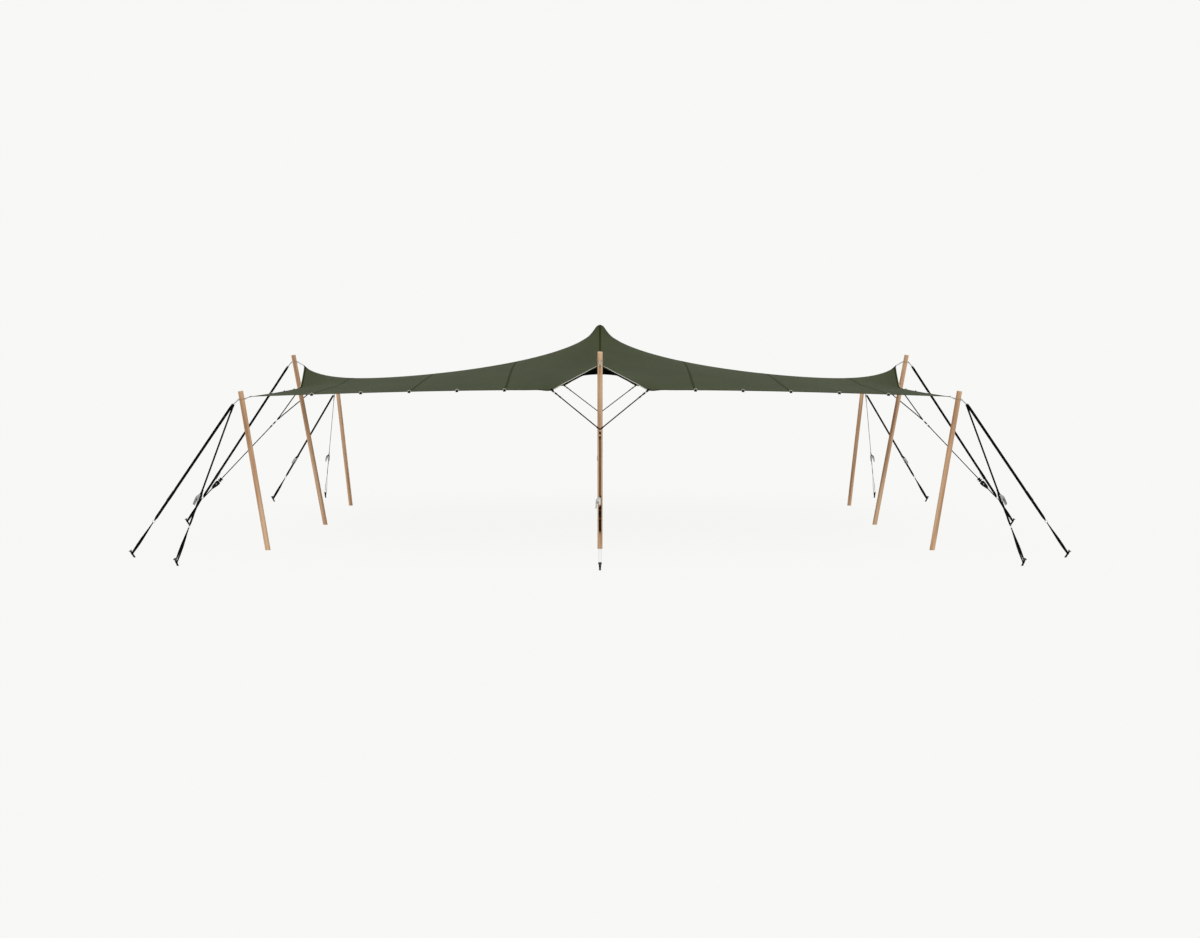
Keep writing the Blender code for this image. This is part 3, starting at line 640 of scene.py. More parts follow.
def pine(name, ends, *stops):
    """Softwood: streaks of grain along the length, or on a sawn end its rings."""
    made, tree, shader = surface(name, Specular_IOR_Level=0.3)
    place = add(tree, "TexCoord", {}).outputs["Object"]
    if ends:
        long_grain = place
        settings = {"wave_type": "RINGS", "rings_direction": "Z", "Scale": math.pi / 10 / 0.007,
                    "Distortion": 1.5, "Detail": 2, "Detail Scale": 2}
        grain = add(tree, "TexWave", settings, [(place, "Vector")]).outputs["Fac"]
    else:
        # Grain lines are 3 to 8 mm wide and run for decimetres, so the pattern is drawn out along the pole.
        stretch = add(tree, "Mapping", {"Scale": (1.0, 1.0, 0.045)}, [(place, "Vector")])
        long_grain = stretch.outputs["Vector"]
        settings = {"Scale": 95, "Detail": 5, "Roughness": 0.6, "Distortion": 0.8}
        grain = add(tree, "TexNoise", settings, [(long_grain, "Vector")]).outputs["Fac"]
    broad = add(tree, "TexNoise", {"Scale": 14, "Detail": 3}, [(long_grain, "Vector")]).outputs["Fac"]
    mixed = worked(tree, "ADD", worked(tree, "MULTIPLY", grain, broad), worked(tree, "MULTIPLY", broad, broad))
    coloured(tree, shader, mixed, stops)
    roughened(tree, shader, grain, 0.55, 0.72)
    raised(tree, shader, grain, 0.0008)
    return made


# Planed pine under clear oil: warm light brown, with darker late wood in streaks and a low shine.
OILED_PINE = pine("oiled_pine", False, (0.25, "8F6B4E"), (0.45, "B08B6A"), (0.62, "BC9A7A"), (0.85, "C9A889"))
# The sawn ends took no oil and are paler, and their pale colour also paints the light that falls on the top of
# each pole.
SAWN_END_PAINTED_LIGHT = pine("sawn_pine_end_painted_light", True, (0.25, "C0A283"), (0.5, "D8BE9F"), (0.85, "E4CFB4"))


def stand(foot, axis, turn=0.0):
    """Places a piece made along its own Z from a foot, with Z on the axis, and turned about it."""
    tilt = UP.rotation_difference(axis).to_matrix().to_4x4()
    return Matrix.Translation(foot) @ tilt @ Matrix.Rotation(turn, 4, "Z")


def disc(height, radius, sides):
    return [Vector((a, b, height)) for a, b in round_outline(radius, sides)]


def cut_level(ring, place):
    """Slides points of a leaning piece along it, down or up to the ground."""
    world = place.to_3x3()
    return [p - UP * ((world @ p).z + place.translation.z) / (world @ UP).z for p in ring]


def timber(name, foot, top, turn):
    """A pole: a shaft that is very slightly out of round, cut level at its foot and square at its eased top."""
    axis = (top - foot).normalized()
    length = (top - foot).length
    place = stand(foot, axis, turn)
    rings = [cut_level(disc(0.0, POLE_RADIUS, POLE_SIDES), place)]
    count = 24
    for k in range(1, count):
        height = 0.03 + (length - 0.06) * (k - 1) / (count - 2)
        thin = 0.0003 * (1 + math.sin(2.3 * k + turn))
        rings.append(disc(height, POLE_RADIUS - thin, POLE_SIDES))
    for down, less in ((POLE_EASE, 0.0002), (POLE_EASE * 0.3, POLE_EASE * 0.35), (0, POLE_EASE)):
        rings.append(disc(length - down, POLE_RADIUS - less, POLE_SIDES))
    made = piece(name + "_timber", made_of(OILED_PINE, [loft(rings)]), place)
    # Both sawn ends take the paler colour, which paints the light on each pole's top.
    made.data.materials.append(SAWN_END_PAINTED_LIGHT)
    for face in made.data.polygons:
        if len(face.vertices) == POLE_SIDES:
            face.material_index = 1
    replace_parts(made, name)


def at_corner(place, sx, sy):
    return Vector((place.x * sx, place.y * sy, place.z))


# The corners, with the signs of X and Y there, and the middles of the sides, with the way out of each and how
# far out its pole's foot and the canopy's tip are.
corners = [(row + "_" + column, sx, sy)
           for row, sy in (("front", -1), ("back", 1)) for column, sx in (("left", -1), ("right", 1))]
middles = [(name, Vector((x, 0, 0)), END_FOOT_X, END_TIP.x) for name, x in (("left", -1), ("right", 1))]
middles += [(name, Vector((0, y, 0)), FRONT_FOOT_Y, FRONT_TIP.y) for name, y in (("front", -1), ("back", 1))]
pole_ends = {}
for name, sx, sy in corners:
    pole_ends[name] = [at_corner(end, sx, sy) for end in (CORNER_FOOT, CORNER_TOP)]
for name, out, foot_out, tip_out in middles:
    pole_ends[name] = [out * foot_out, out * (foot_out + MIDDLE_LEAN) + UP * MIDDLE_TOP_HEIGHT]
pole_ends["centre"] = [Vector((0, 0, 0)), UP * (PEAK_HEIGHT - CAP_DEPTH - GAP)]
for k, (name, (foot, top)) in enumerate(pole_ends.items()):
    timber("pole_" + name, foot, top, 2.4 * k)

# The cap is turned from beech and sits on the centre pole like a mushroom. Its domed top spreads the load.
cap_profile = [(0.0, 0.047), (0.002, 0.0502), (0.014, 0.053), (0.018, 0.055), (0.026, 0.060), (0.036, 0.068),
               (0.042, 0.073)]
cap_foot = PEAK_HEIGHT - CAP_DEPTH
for k in range(16):
    reach = CAP_INSIDE * (1 - (k / 16) ** 1.6)
    under = float(on_cap(reach)) - 1.7 * (CLOTH_THICK / 2 + TAPE_PROUD) - GAP
    cap_profile.append((under - cap_foot, reach))
cap = made_of(OILED_PINE, [loft([disc(height, radius, 48) for height, radius in cap_profile])])
cap = piece("pole_centre_cap_turned", cap, Matrix.Translation(UP * cap_foot))
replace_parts(cap, "pole_centre_cap")


# A link at each outer pole's top joins the canopy's tip to the guys. It is a galvanised wire rope: a collar
# round the pole, 130 mm below its end, an arm in to a shackle on the tip, and an arm out to a cross bar.
LINK_DROP = 0.13
COLLAR_ROPE = 0.0050
ARM_ROPE = 0.0105
ROPE_LAY = 7                    # one turn of its strands, in its own radii
STRAND_SHARE = 0.52             # a strand's radius, in the rope's
FERRULE = 0.0130
SHACKLE_ROD = 0.0042
SHACKLE_HALF = 0.013
SHACKLE_LONG = 0.046
BAR_RADIUS = 0.006
BAR_HALF = 0.032
CORNER_BAR = Vector((5.928, 4.428, 2.416))
MIDDLE_BAR_OUT = 0.68
MIDDLE_BAR_HEIGHT = 3.045


# Hot-dip galvanising on wire: pale grey, dull, faintly spangled.
GALVANISED = metal("galvanised_wire", [(0.3, "A2A6A5"), (0.7, "BFC3C1")], 0.006, 0.0003, 0.4, 0.6)
# The collar's wire is sleeved in dull tan plastic, so that it doesn't bite into the timber.
SLEEVED_WIRE = plaited("sleeved_collar_wire", 0.012, [(0.2, "9A8468"), (0.8, "AC9679")],
                       Roughness=0.6, Specular_IOR_Level=0.3)
# Shackles are drop-forged and left dark.
FORGED = metal("forged_shackle_steel", [(0.3, "3A3B3D"), (0.7, "5A5C5E")], 0.004, 0.0003, 0.35, 0.55)


def spread_along(path, count):
    """The path's places, read evenly along it."""
    steps = [0.0]
    for a, b in zip(path, path[1:]):
        steps.append(steps[-1] + (b - a).length)
    found = []
    for at in np.linspace(0, steps[-1], count):
        k = min(int(np.searchsorted(steps, at, side="right")) - 1, len(path) - 2)
        share = (at - steps[k]) / (steps[k + 1] - steps[k])
        found.append(path[k].lerp(path[k + 1], share))
    return found, steps[-1]


def rope(path, side, radius, strands=3, closed=False):
    """A laid rope along a path: strands that wind round each other."""
    long_way = path + [path[0]] if closed else path
    length = spread_along(long_way, 2)[1]
    turns = max(1, round(length / (ROPE_LAY * radius)))
    count = 9 * turns + 1
    line = spread_along(long_way, count)[0]
    if closed:
        line = line[:-1]
    strand = radius * STRAND_SHARE
    bodies = []
    for s in range(strands):
        wound, sides = [], []
        for k, place in enumerate(line):
            first, second = squared(line, k, side, closed)
            turn = 2 * math.pi * (s / strands + turns * k / (count - 1))
            away = first * math.cos(turn) + second * math.sin(turn)
            wound.append(place + away * (radius - strand))
            sides.append(away)
        bodies.append(swept(wound, round_outline(strand, 6), sides, closed))
    return bodies


def circle_path(centre, axis, radius, count):
    first = axis.orthogonal().normalized()
    second = axis.cross(first).normalized()
    return [centre + (first * a + second * b) * radius for a, b in round_outline(1.0, count)]


def hoop(centre, axis, radius, wire, count=28):
    return swept(circle_path(centre, axis, radius, count), round_outline(wire), axis, closed=True)


def turned(start, axis, profile, sides=20):
    """A round body along an axis, from how far along it and how wide each of its rings is."""
    return loft([circle_path(start + axis * along, axis, radius, sides) for along, radius in profile])


def ferrule(start, axis, length):
    """A pressed sleeve over a rope, with eased ends."""
    ease = 0.002
    profile = [(0, FERRULE - ease), (ease, FERRULE), (length - ease, FERRULE), (length, FERRULE - ease)]
    return turned(start, axis, profile, 14)


def shackle(tip, axis, level):
    """A bow shackle whose bow points along the axis, with its pin across the tip."""
    jaw = SHACKLE_HALF * 0.8
    bow = [tip - axis * 0.004 - level * jaw]
    for k in range(13):
        turn = math.pi * k / 12
        width = -math.cos(turn) * SHACKLE_HALF
        bow.append(tip + axis * (SHACKLE_LONG * 0.45 + math.sin(turn) * SHACKLE_LONG * 0.5) + level * width)
    bow.append(tip - axis * 0.004 + level * jaw)
    reach = jaw + 0.006
    eyes = [turned(tip + level * (end - 0.003), level, [(0, 0.0075), (0.006, 0.0075)], 14)
            for end in (-jaw, jaw)]
    pin_profile = [(0, 0.005), (0.003, 0.006), (0.004, 0.0034), (2 * reach + 0.003, 0.0034)]
    pin = turned(tip - level * (reach + 0.003), level, pin_profile, 12)
    return [swept(bow, round_outline(SHACKLE_ROD), axis.cross(level))] + eyes + [pin]


def level_way(start, end):
    """The level direction from one place to another."""
    return Vector((end.x - start.x, end.y - start.y, 0)).normalized()


def link(name, foot, top, tip, bar):
    """One link: collar, two arms with their ferrules and eyes, shackle and cross bar."""
    axis = (top - foot).normalized()
    centre = top - axis * LINK_DROP
    out = level_way(centre, bar)
    level = out.cross(UP).normalized()
    middle = POLE_RADIUS + GAP + COLLAR_ROPE
    collar = rope(circle_path(centre, axis, middle, 72), axis, COLLAR_ROPE, closed=True)
    wire, forged = [], []
    inward = (tip - centre).normalized()
    start_in = centre - out * (middle + 0.004)
    eye_in = tip - (tip - start_in).normalized() * (SHACKLE_LONG * 0.9 - 0.004)
    run = (eye_in - start_in).normalized()
    wire += rope([start_in, eye_in - run * 0.008], axis, ARM_ROPE)
    wire.append(ferrule(start_in + run * 0.006, run, 0.022))
    wire.append(hoop(eye_in + run * 0.002, run.cross(level).normalized(), 0.010, 0.0035, 18))
    forged += shackle(tip + inward * 0.004, -run, level)
    start_out = centre + out * (middle + 0.004)
    run = (bar - start_out).normalized()
    wire += rope([start_out, bar - run * 0.012], axis, ARM_ROPE)
    wire.append(ferrule(start_out + run * 0.010, run, 0.024))
    wire.append(hoop(bar, level, 0.0098, 0.0036, 18))
    ease = 0.0015
    cross = [(0, BAR_RADIUS - ease), (ease, BAR_RADIUS), (2 * BAR_HALF - ease, BAR_RADIUS),
             (2 * BAR_HALF, BAR_RADIUS - ease)]
    wire.append(turned(bar - level * BAR_HALF, level, cross))
    parts = made_of(GALVANISED, wire) + made_of(FORGED, forged) + made_of(SLEEVED_WIRE, collar)
    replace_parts(piece("link_" + name + "_rope", parts), "link_" + name)


bars = {}
for name, sx, sy in corners:
    bars[name] = at_corner(CORNER_BAR, sx, sy)
    link(name, *pole_ends[name], at_corner(CORNER_TIP, sx, sy), bars[name])
for name, out, foot_out, tip_out in middles:
    bars[name] = out * (foot_out + MIDDLE_BAR_OUT) + UP * MIDDLE_BAR_HEIGHT
    link(name, *pole_ends[name], out * tip_out + UP * END_TIP.z, bars[name])


# Twelve ground stakes hold the guys: forged steel bars 30 mm thick with a flat head, driven in at a slant
# away from the tent. Only what stands above the ground is made.
STAKE_RADIUS = 0.015
STAKE_HEAD = 0.030
STAKE_HEAD_THICK = 0.010
STAKE_LENGTH = 0.133
STAKE_LEAN = math.radians(30)
STAKE_HOLD = 0.075              # where the sling goes round, along the stake
SIDE_STAKE = Vector((7.40, 4.957, 0.0))
FRONT_STAKE = Vector((6.425, 5.953, 0.0))
END_STAKE_X = 7.935
MIDDLE_STAKE_Y = 6.45
TWIN_SPREAD = 0.015             # half the distance between the two guys at a corner's bar

# Forged bar keeps its dark, slightly pitted scale, and hammer blows wear the head brighter.
STAKE_STEEL = metal("forged_stake_steel", [(0.3, "232324"), (0.72, "3B3B3D")], 0.005, 0.0008, 0.45, 0.75)
STRUCK_STEEL = metal("struck_stake_head", [(0.35, "2E2E2F"), (0.62, "57575A")], 0.008, 0.0012, 0.35, 0.6)


def stake_axis(away):
    return (away * math.sin(STAKE_LEAN) + UP * math.cos(STAKE_LEAN)).normalized()


def stake(name, toe, away):
    """One stake from the ground up. Its head is slightly domed, and mushroomed by the hammer."""
    place = stand(toe, stake_axis(away))
    under = STAKE_LENGTH - STAKE_HEAD_THICK
    shank = [cut_level(disc(0.0, STAKE_RADIUS, 24), place)]
    shank += [disc(under - down, STAKE_RADIUS + wider, 24)
              for down, wider in ((0.006, 0), (0.002, 0.002), (0, 0.005))]
    head = [disc(height, STAKE_HEAD - less, 32) for height, less in
            ((under, 0.020), (under, 0.004), (under + 0.002, 0.001), (under + 0.005, 0),
             (under + 0.0078, 0.0012), (STAKE_LENGTH - 0.0012, 0.005), (STAKE_LENGTH, 0.016))]
    parts = [(loft(shank), STAKE_STEEL), (loft(head), STRUCK_STEEL)]
    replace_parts(piece("stake_" + name + "_forged", parts, place), "stake_" + name)


# For each guy: its bar, its stake's toe, how far to the side it sits on the bar, and where its handle points.
leads = {}
for name, sx, sy in corners:
    row = name.split("_")[0]
    spread = Vector((sx, -sy, 0)).normalized() * TWIN_SPREAD
    leads[name + "_side"] = (bars[name], at_corner(SIDE_STAKE, sx, sy), spread, Vector((0, -sy, 0)))
    leads[name + "_" + row] = (bars[name], at_corner(FRONT_STAKE, sx, sy), -spread, Vector((sx, 0, 0)))
for name, out, foot_out, tip_out in middles:
    toe = out * (END_STAKE_X if foot_out == END_FOOT_X else MIDDLE_STAKE_Y)
    leads[name] = (bars[name], toe, Vector((0, 0, 0)), Vector((-1, 1, 0)))
for name, (bar, toe, step, handle_to) in leads.items():
    stake(name, toe, level_way(bar, toe))


# Each guy is 43 mm black webbing that stands on edge: a sewn eye on the cross bar, a ratchet with its handle
# down and a pad behind it, a steel ring, and below the ring a sling of the same webbing round the stake.
WEB_HALF = 0.0215
WEB_THICK_HALF = 0.0017
WEB_GATHERED = 0.010            # half its width where it is gathered at a ring
WEB_ON_BAR = 0.017
RING_RADIUS = 0.022
RING_WIRE = 0.003
SLING_SPREAD = 0.55             # share of the sling by which its strands have parted and are at their widest
SLING_NARROWS = 0.75            # share from which they gather toward the stake
SLING_WIDE = 0.021              # half the width of a strand there
SLING_HALF = 0.015
SLING_THICK_HALF = 0.0013
CORNER_RING = 0.212             # of the guy's length, up from the stake
MIDDLE_RING = 0.155
CORNER_RATCHET = 0.386
MIDDLE_RATCHET = 0.303
RATCHET_OFF = 0.011             # how far its frame is to the handle's side of the guy
LOWER_PIN = 0.052               # from its middle
PLATE_OUT = 0.0235              # outer face of its side plates, from its middle
PLATE_THICK = 0.0028
PAD_HALF = 0.0210
PAD_THICK_HALF = 0.002
ACROSS = Vector((0, 1, 0))      # of a guy's or strap's own axes

# Bright zinc on pressed steel: pale, fairly smooth, with fine scratches.
ZINC = metal("zinc_plated_steel", [(0.3, "8E908F"), (0.7, "B0B2B0")], 0.010, 0.0002, 0.35, 0.55)
# The small ratchets of the bridles are painted black over zinc, and the paint is chipped grey in places.
BLACK_PAINT = metal("black_painted_steel", [(0.45, "050505"), (0.72, "0C0C0C"), (0.84, "242424")],
                    0.006, 0.0003, 0.4, 0.6, Specular_IOR_Level=0.10)


def web(run, half_thick=WEB_THICK_HALF, side=UP):
    """Webbing through places that each have half its width there, with its width along the side."""
    path = [Vector(at[:-1]) for at in run]
    return swept(path, [strap_outline(at[-1], half_thick) for at in run], side)


def eye(end, way, pin, narrow):
    """Webbing from a sewn end, round a pin and off along the guy, toward the side that way gives."""
    fold = WEB_THICK_HALF * 1.06
    around = pin + WEB_THICK_HALF
    run = [(0.15, fold, WEB_HALF), (0.08, fold, WEB_HALF), (0.045, fold * 1.3, WEB_HALF * 0.8 + narrow * 0.2),
           (0.022, around * 0.85, narrow * 0.7 + WEB_HALF * 0.3), (0.008, around, narrow)]
    run += [(-around * math.sin(t), around * math.cos(t), narrow) for t in (0.5, 1.1)] + [(-around, 0, narrow)]
    run += [(x, -y, half) for x, y, half in reversed(run[:-1])]
    return [(end + way * x, way * y, 0, half) for x, y, half in run]


def box(low, high, ease=0.001):
    """A block between two corners, with its long edges eased."""
    (x0, y0, z0), (x1, y1, z1) = low, high
    ring = [(x0 + ease, y0), (x1 - ease, y0), (x1, y0 + ease), (x1, y1 - ease),
            (x1 - ease, y1), (x0 + ease, y1), (x0, y1 - ease), (x0, y0 + ease)]
    return loft([[Vector((x, y, z)) for x, y in ring] for z in (z0, z1)])


def plate(outline, low, high):
    """A plate with this outline, lying across Z, with its edges eased."""
    middle = [sum(p[k] for p in outline) / len(outline) for k in (0, 1)]
    rings = []
    for z, share in ((low, 0.985), (low + 0.0006, 1.0), (high - 0.0006, 1.0), (high, 0.985)):
        rings.append([Vector((middle[0] + (x - middle[0]) * share, middle[1] + (y - middle[1]) * share, z))
                      for x, y in outline])
    return loft(rings)


def stitches(first, last):
    """Rows of heavy stitching across doubled webbing, a little proud of both of its faces."""
    off = 2.4 * WEB_THICK_HALF
    return [box((x - 0.0012, -off, -WEB_HALF * 0.9), (x + 0.0012, off, WEB_HALF * 0.9), 0.0003)
            for x in np.linspace(first, last, 6)]


def ratchet(centre, way):
    """A ratchet buckle in the guy's own axes: spool above, pin below, and its handle on the side of way."""
    def at(points):
        return [(centre - x, way * (y + RATCHET_OFF)) for x, y in points]

    frame_side = at([(-0.064, -0.010), (-0.058, -0.018), (-0.040, -0.0205), (0.052, -0.0205), (0.068, -0.014),
                     (0.076, -0.002), (0.072, 0.010), (0.058, 0.0165), (0.020, 0.0165), (-0.030, 0.006),
                     (-0.056, 0.006), (-0.064, 0.0)])
    arm_side = at([(0.062, -0.004), (0.062, 0.014), (0.054, 0.030), (0.036, 0.046), (-0.092, 0.054),
                   (-0.102, 0.050), (-0.100, 0.042), (-0.020, 0.033), (0.016, 0.012), (0.034, -0.012),
                   (0.052, -0.013)])
    grip = at([(0.034, 0.038), (0.036, 0.046), (0.024, 0.0525), (-0.030, 0.0575), (-0.092, 0.0595),
               (-0.106, 0.055), (-0.107, 0.047), (-0.094, 0.0415), (-0.040, 0.0395)])
    gear = []
    for k in range(48):
        radius = 0.0215 if k % 4 in (0, 1) else 0.0178
        turn = 2 * math.pi * k / 48
        gear.append((0.045 + radius * math.cos(turn), radius * math.sin(turn)))
    bright = []
    spool = centre - 0.045
    for side in (-1, 1):
        for outline, near, far in ((frame_side, PLATE_OUT - PLATE_THICK, PLATE_OUT), (arm_side, 0.0184, 0.0205),
                                   (at(gear), 0.0164, 0.0182)):
            bright.append(plate(outline, *sorted((side * near, side * far))))
        bright.append(turned(Vector((spool, way * RATCHET_OFF, side * PLATE_OUT)), UP * side,
                             [(-0.002, 0.010), (0.0008, 0.010), (0.0015, 0.008)]))
    bright.append(plate(grip, -0.0205, 0.0205))
    for x, y, radius in ((-LOWER_PIN, -RATCHET_OFF, 0.0048), (0.045, 0.0, 0.0075), (-0.024, -0.014, 0.0035),
                         (0.012, 0.010, 0.003)):
        pin = [(-0.0012, radius * 0.8), (0, radius), (2 * PLATE_OUT, radius),
               (2 * PLATE_OUT + 0.0012, radius * 0.8)]
        bright.append(turned(Vector((centre - x, way * (y + RATCHET_OFF), -PLATE_OUT)), UP, pin))
    pawl = at([(0.000, 0.012), (0.020, 0.007), (0.025, 0.010), (0.022, 0.0145), (0.002, 0.0175)])
    bright.append(plate(pawl, -0.0160, 0.0160))
    roll = [(-0.0162, 0.0095), (-0.0159, 0.0145), (-0.0155, 0.0150)]
    roll += [(-along, radius) for along, radius in reversed(roll)]
    wound = turned(Vector((spool, way * RATCHET_OFF, 0)), UP, roll, 28)
    back = -way * 0.0165
    pad = [(-0.17, -way * 0.004), (-0.13, -way * 0.006), (-0.10, back * 0.7), (-0.07, back), (0.06, back),
           (0.09, back * 0.8)]
    pad = web([(centre + x, y, 0, PAD_HALF) for x, y in pad], PAD_THICK_HALF)
    return made_of(ZINC, bright) + made_of(BLACK_WEBBING, [wound, pad])


def between(low, high, share):
    return low + (high - low) * min(max(share, 0.0), 1.0)


def sling_breadth(share):
    """Half the sling's breadth, and half its strands' width, at this share of it below the ring."""
    near, gather = share / SLING_SPREAD, (share - SLING_NARROWS) / (1 - SLING_NARROWS)
    width = between(between(WEB_GATHERED * 0.7, SLING_WIDE, near), SLING_HALF, gather)
    return between(0.005, STAKE_RADIUS + 2 * SLING_THICK_HALF, near), width


def sling(ring, length, post):
    """The webbing below the ring: one closed loop round the stake, its strands sewn together at the ring."""
    top = ring + RING_RADIUS + RING_WIRE
    reach = length - top
    post = post if post.z > 0 else -post
    around = RING_WIRE + SLING_THICK_HALF + 0.0006
    run = [(ring + RING_RADIUS - around * math.cos(t), around * math.sin(t) * 1.3, UP, WEB_GATHERED * 0.7)
           for t in (0.0, 0.6, 1.2)]
    for share in (0.03, 0.08, 0.15, 0.25, 0.38, 0.5, 0.62, 0.74, 0.86, 0.95):
        breadth, half = sling_breadth(share)
        lean = UP.lerp(post, between(0, 1, (share - 0.4) / 0.6)).normalized()
        run.append((top + reach * share, breadth - SLING_THICK_HALF, lean, half))
    line = [(Vector((x, y, 0)), side, half) for x, y, side, half in run]
    around = STAKE_RADIUS + SLING_THICK_HALF + GAP
    past = ACROSS.cross(post).normalized()
    past = past if past.x > 0 else -past
    for k in range(1, 12):
        turn = math.pi * k / 12
        place = Vector((length, 0, 0)) + ACROSS * around * math.cos(turn) + past * around * math.sin(turn)
        line.append((place, post, SLING_HALF))
    line += [(Vector((x, -y, 0)), side, half) for x, y, side, half in reversed(run[1:])]
    path, sides, widths = (list(row) for row in zip(*line))
    outlines = [strap_outline(half, SLING_THICK_HALF) for half in widths]
    return made_of(BLACK_WEBBING, [swept(path, outlines, sides, closed=True)])


def laid(start, end):
    """Places a piece made along its own X from start to end, with its Y level, and gives its length."""
    down = (end - start).normalized()
    across = UP.cross(down).normalized()
    turn = Matrix((down, across, down.cross(across))).transposed().to_4x4()
    return Matrix.Translation(start) @ turn, (end - start).length


rings_at = {}
for name, (bar, toe, step, handle_to) in leads.items():
    post = stake_axis(level_way(bar, toe))
    place, length = laid(bar + step, toe + post * STAKE_HOLD)
    turn = place.to_3x3()
    way = 1 if turn.col[1].dot(handle_to) > 0 else -1
    corner = name not in ("left", "right", "front", "back")
    ring = length * (1 - (CORNER_RING if corner else MIDDLE_RING))
    buckle = length * (1 - (CORNER_RATCHET if corner else MIDDLE_RATCHET))
    rings_at[name] = place @ Vector((ring, 0, 0)), (turn @ UP).normalized()
    upper = eye(0.0, 1, BAR_RADIUS, WEB_ON_BAR)
    upper += [(buckle - back, way * off, 0, half) for back, off, half in
              ((0.13, 0.0, WEB_HALF), (0.09, 0.008, 0.018), (0.064, 0.0235, 0.0152), (0.045, 0.0275, 0.0150))]
    lower = eye(buckle + LOWER_PIN, 1, 0.0048, 0.0160)
    lower += eye(ring - RING_RADIUS, -1, RING_WIRE, WEB_GATHERED)[::-1]
    rows = stitches(0.10, 0.14) + stitches(buckle + 0.160, buckle + 0.195)
    parts = made_of(BLACK_WEBBING, [web(upper), web(lower)] + rows)
    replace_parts(piece("guy_" + name + "_webbing", parts, place), "guy_" + name)
    piece("guy_" + name + "_ratchet", ratchet(buckle, way), place)
    ring_body = hoop(Vector((ring, 0, 0)), ACROSS, RING_RADIUS, RING_WIRE, 40)
    piece("guy_" + name + "_ring", made_of(ZINC, [ring_body]), place)
    piece("guy_" + name + "_sling", sling(ring, length, turn.inverted() @ post), place)


# Each raised tip has a bridle: two plaited cords from loops on the canopy's edge to a small buckle, and from
# there a narrow strap with its own ratchet, down to the ring of the tip's guy.
LEG_RADIUS = 0.0114
APEX_OUT = 0.90                 # from the pole's foot outward
APEX_HEIGHT = 2.024
BRIDLE_WEB_HALF = 0.0105
BRIDLE_THICK_HALF = 0.0080      # it is a tubular webbing, almost round
BRIDLE_RATCHET = (0.752, 0.880)  # shares of the way from the apex to the ring
STRAP_DOUBLED = 1.7             # how much wider the strap is below its ratchet
STRAP_ON_RING = 0.015           # how far below the ring's middle the strap ends

# Plaited black polyester, its plait drawn at 9 mm.
BLACK_CORD = plaited("black_polyester_cord", 0.009, [(0.2, "050505"), (0.8, "0F0F0E")],
                     Roughness=0.65, Specular_IOR_Level=0.08)


def leg(loop, apex, normal_hint):
    """One cord of a bridle: a tab over the canopy's edge, a ring, and two sewn sleeves along the cord."""
    down = (apex - loop).normalized()
    length = (apex - loop).length
    across = down.cross(normal_hint).normalized()
    normal = across.cross(down)
    parts = made_of(BLACK_WEBBING, [tab(loop, down, normal, half_width=0.016, inward=0.030, reach=0.046)])
    parts += made_of(ZINC, [hoop(loop + down * 0.056, normal, 0.014, 0.003, 24)])
    parts += made_of(BLACK_CORD, rope([loop + down * 0.068, apex], normal, LEG_RADIUS))
    for start, long in ((0.072, 0.058), (0.178, 0.042), (length - 0.075, 0.045)):
        sleeve = [(0, 0.008), (0.004, 0.0135), (long - 0.004, 0.0135), (long, 0.008)]
        parts.append((turned(loop + down * start, down, sleeve, 12), BLACK_WEBBING))
    return parts


def upright(body):
    """A plate that lies across Z, turned to stand across Y."""
    points, faces = body
    return [Vector((p[0], p[2], p[1])) for p in points], faces


def bridle_ratchet(first, last):
    """The strap's cam buckle with flared cheeks, and below it a small ratchet whose cheeks narrow downward."""
    flared = doubled([(0.0, 0.010), (0.010, 0.040), (0.028, 0.019), (0.040, 0.019), (0.058, 0.041),
                      (0.068, 0.012)], first)
    upper, long = first + 0.086, last - first - 0.086
    cheek = doubled([(0.0, 0.024), (0.010, 0.042), (0.35 * long, 0.041), (0.75 * long, 0.024), (long, 0.013)],
                    upper)
    spool = upper + 0.32 * long
    parts = [(box((first + 0.010, -0.0175, -0.012), (first + 0.058, 0.0175, 0.012), 0.003), BLACK_PAINT)]
    for way in (-1, 1):
        for outline in (flared, cheek):
            parts.append((upright(plate(outline, *sorted((way * 0.0180, way * 0.0215)))), BLACK_PAINT))
        boss = turned(Vector((spool, way * 0.0215, 0)), ACROSS * way, [(0, 0.011), (0.0012, 0.010)], 18)
        parts.append((boss, ZINC))
    for x, radius, kind in ((first + 0.012, 0.0042, ZINC), (upper + 0.006, 0.0042, BLACK_PAINT),
                            (upper + long - 0.008, 0.0042, BLACK_PAINT), (spool, 0.0150, BLACK_WEBBING)):
        parts.append((turned(Vector((x, -0.0185, 0)), ACROSS, [(0, radius), (0.037, radius)], 18), kind))
    handle = [(upper + 0.06 * long, 0.024), (spool, 0.042), (upper + 0.85 * long, 0.032),
              (upper + 0.85 * long, 0.025), (spool, 0.0335), (upper + 0.06 * long, 0.018)]
    return parts + [(upright(plate(handle, -0.0175, 0.0175)), BLACK_PAINT)]


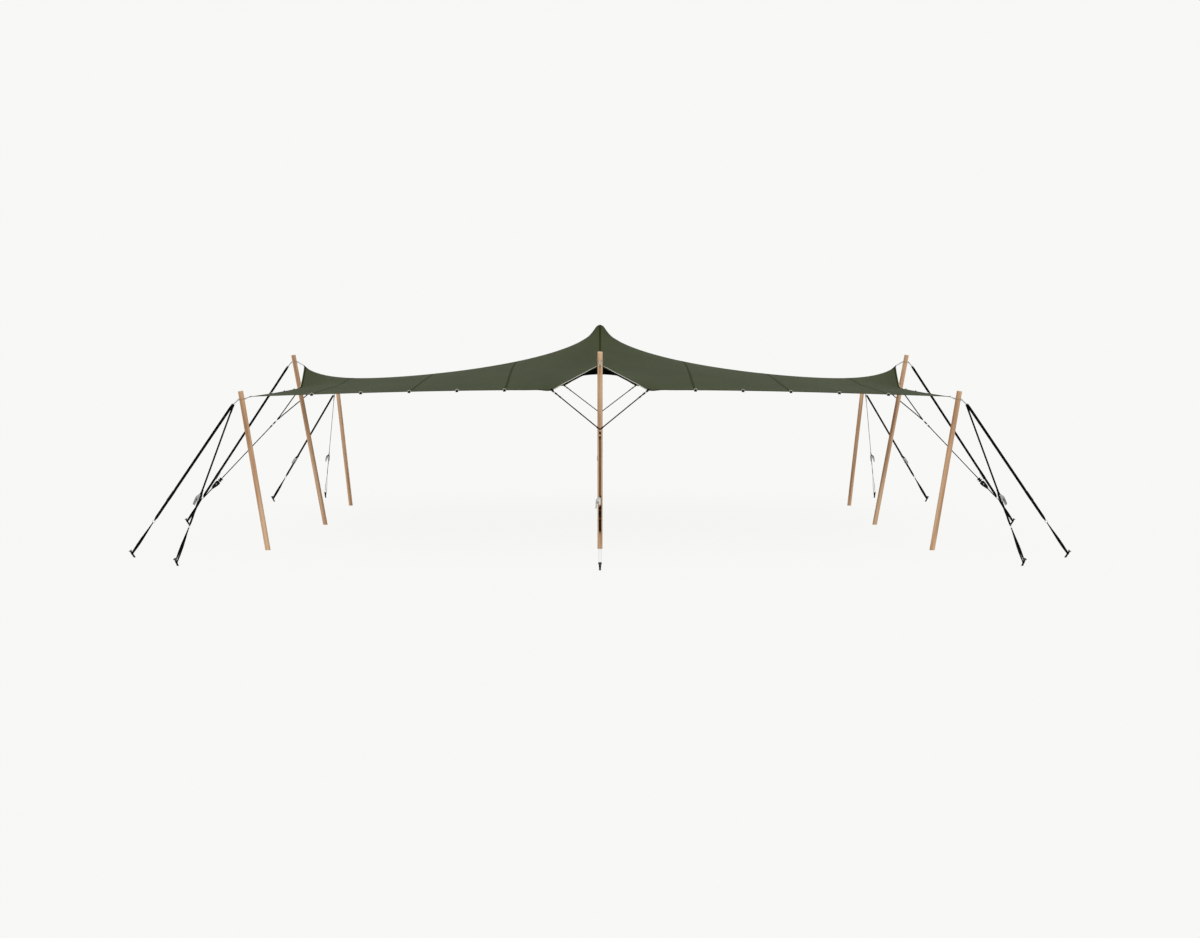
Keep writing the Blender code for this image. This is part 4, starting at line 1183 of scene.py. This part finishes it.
for name, out, foot_out, tip_out in middles:
    side = Vector((-out.y, out.x, 0))
    edge = out * (tip_out - BRIDLE_LOOP_INSET) + UP * BRIDLE_LOOP_HEIGHT
    apex = out * (foot_out + APEX_OUT) + UP * APEX_HEIGHT
    ring_middle, ring_up = rings_at[name]
    ring_side = ring_middle - ring_up * STRAP_ON_RING
    parts = []
    for way in (-1, 1):
        parts += leg(edge + side * way * BRIDLE_LOOP_SIDE, apex, out)
    piece("bridle_" + name + "_cords", parts)

    place, length = laid(apex, ring_side)
    first, last = (share * length for share in BRIDLE_RATCHET)
    wide = BRIDLE_WEB_HALF
    run = [(0.142, wide * 0.8), (0.150, wide), (last - 0.03, wide), (last, wide * STRAP_DOUBLED),
           (length - 0.05, wide * STRAP_DOUBLED), (length - 0.004, wide)]
    parts = [(web([(x, 0, 0, half) for x, half in run], BRIDLE_THICK_HALF, ACROSS), BLACK_WEBBING)]
    for low, high in ((0.052, 0.106), (0.150, 0.192)):
        parts.append((box((low, -0.0150, -0.011), (high, 0.0150, 0.011), 0.003), BLACK_WEBBING))
    for centre, radius in ((0.038, 0.0125), (0.125, 0.0165)):
        parts.append((hoop(Vector((centre, 0, 0)), (ACROSS + UP).normalized(), radius, 0.0038, 26), NICKELLED))
    parts += bridle_ratchet(first, last)
    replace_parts(piece("bridle_" + name + "_strap", parts, place), "bridle_" + name)


# A plain pale floor and soft light from all round, as on a studio cove. The floor gives off almost all of the
# light that it shows, so that it meets the backdrop without a horizon, and takes only a faint shadow.
BACKDROP = "F8F8F6"
FLOOR_HALF = 90.0
FLOOR_TAKES = 0.035
FLOOR_GIVES = 0.9575
FLOOR_DROP = 0.001              # how far it lies under the ground, so that no foot meets it
CAMERA_PLACE = (0, -27.85, 2.95)
CAMERA_DOWN = 0.0672            # radians below level, 3.85 degrees
CAMERA_LENS = 43.456            # on a 36 mm sensor: 45 degrees across

floor_mesh = bpy.data.meshes.new("floor")
floor_corners = [(x * FLOOR_HALF, y * FLOOR_HALF, -FLOOR_DROP) for x, y in ((-1, -1), (1, -1), (1, 1), (-1, 1))]
floor_mesh.from_pydata(floor_corners, [], [[0, 1, 2, 3]])
floor_finish, _, floor_shader = surface("pale_floor", Roughness=1.0, Specular_IOR_Level=0.0)
floor_shader.inputs["Base Color"].default_value = (FLOOR_TAKES, FLOOR_TAKES, FLOOR_TAKES, 1.0)
floor_shader.inputs["Emission Color"].default_value = linear(BACKDROP)
floor_shader.inputs["Emission Strength"].default_value = FLOOR_GIVES
floor_mesh.materials.append(floor_finish)
floor = bpy.data.objects.new("floor", floor_mesh)
bpy.context.scene.collection.objects.link(floor)

world = bpy.data.worlds.new("studio")
world.use_nodes = True
world.node_tree.nodes["Background"].inputs["Color"].default_value = linear(BACKDROP)
bpy.context.scene.world = world

sun = bpy.data.lights.new("key", "SUN")
sun.energy = 1.0
sun.angle = math.radians(50)
key = bpy.data.objects.new("key", sun)
key.rotation_euler = (math.radians(50), 0, 0)
bpy.context.scene.collection.objects.link(key)

camera = bpy.data.cameras.new("camera")
camera.sensor_width = 36
camera.lens = CAMERA_LENS
view = bpy.data.objects.new("camera", camera)
view.location = CAMERA_PLACE
view.rotation_euler = (math.pi / 2 - CAMERA_DOWN, 0, 0)
bpy.context.scene.collection.objects.link(view)
bpy.context.scene.camera = view
bpy.context.scene.view_settings.view_transform = "Standard"
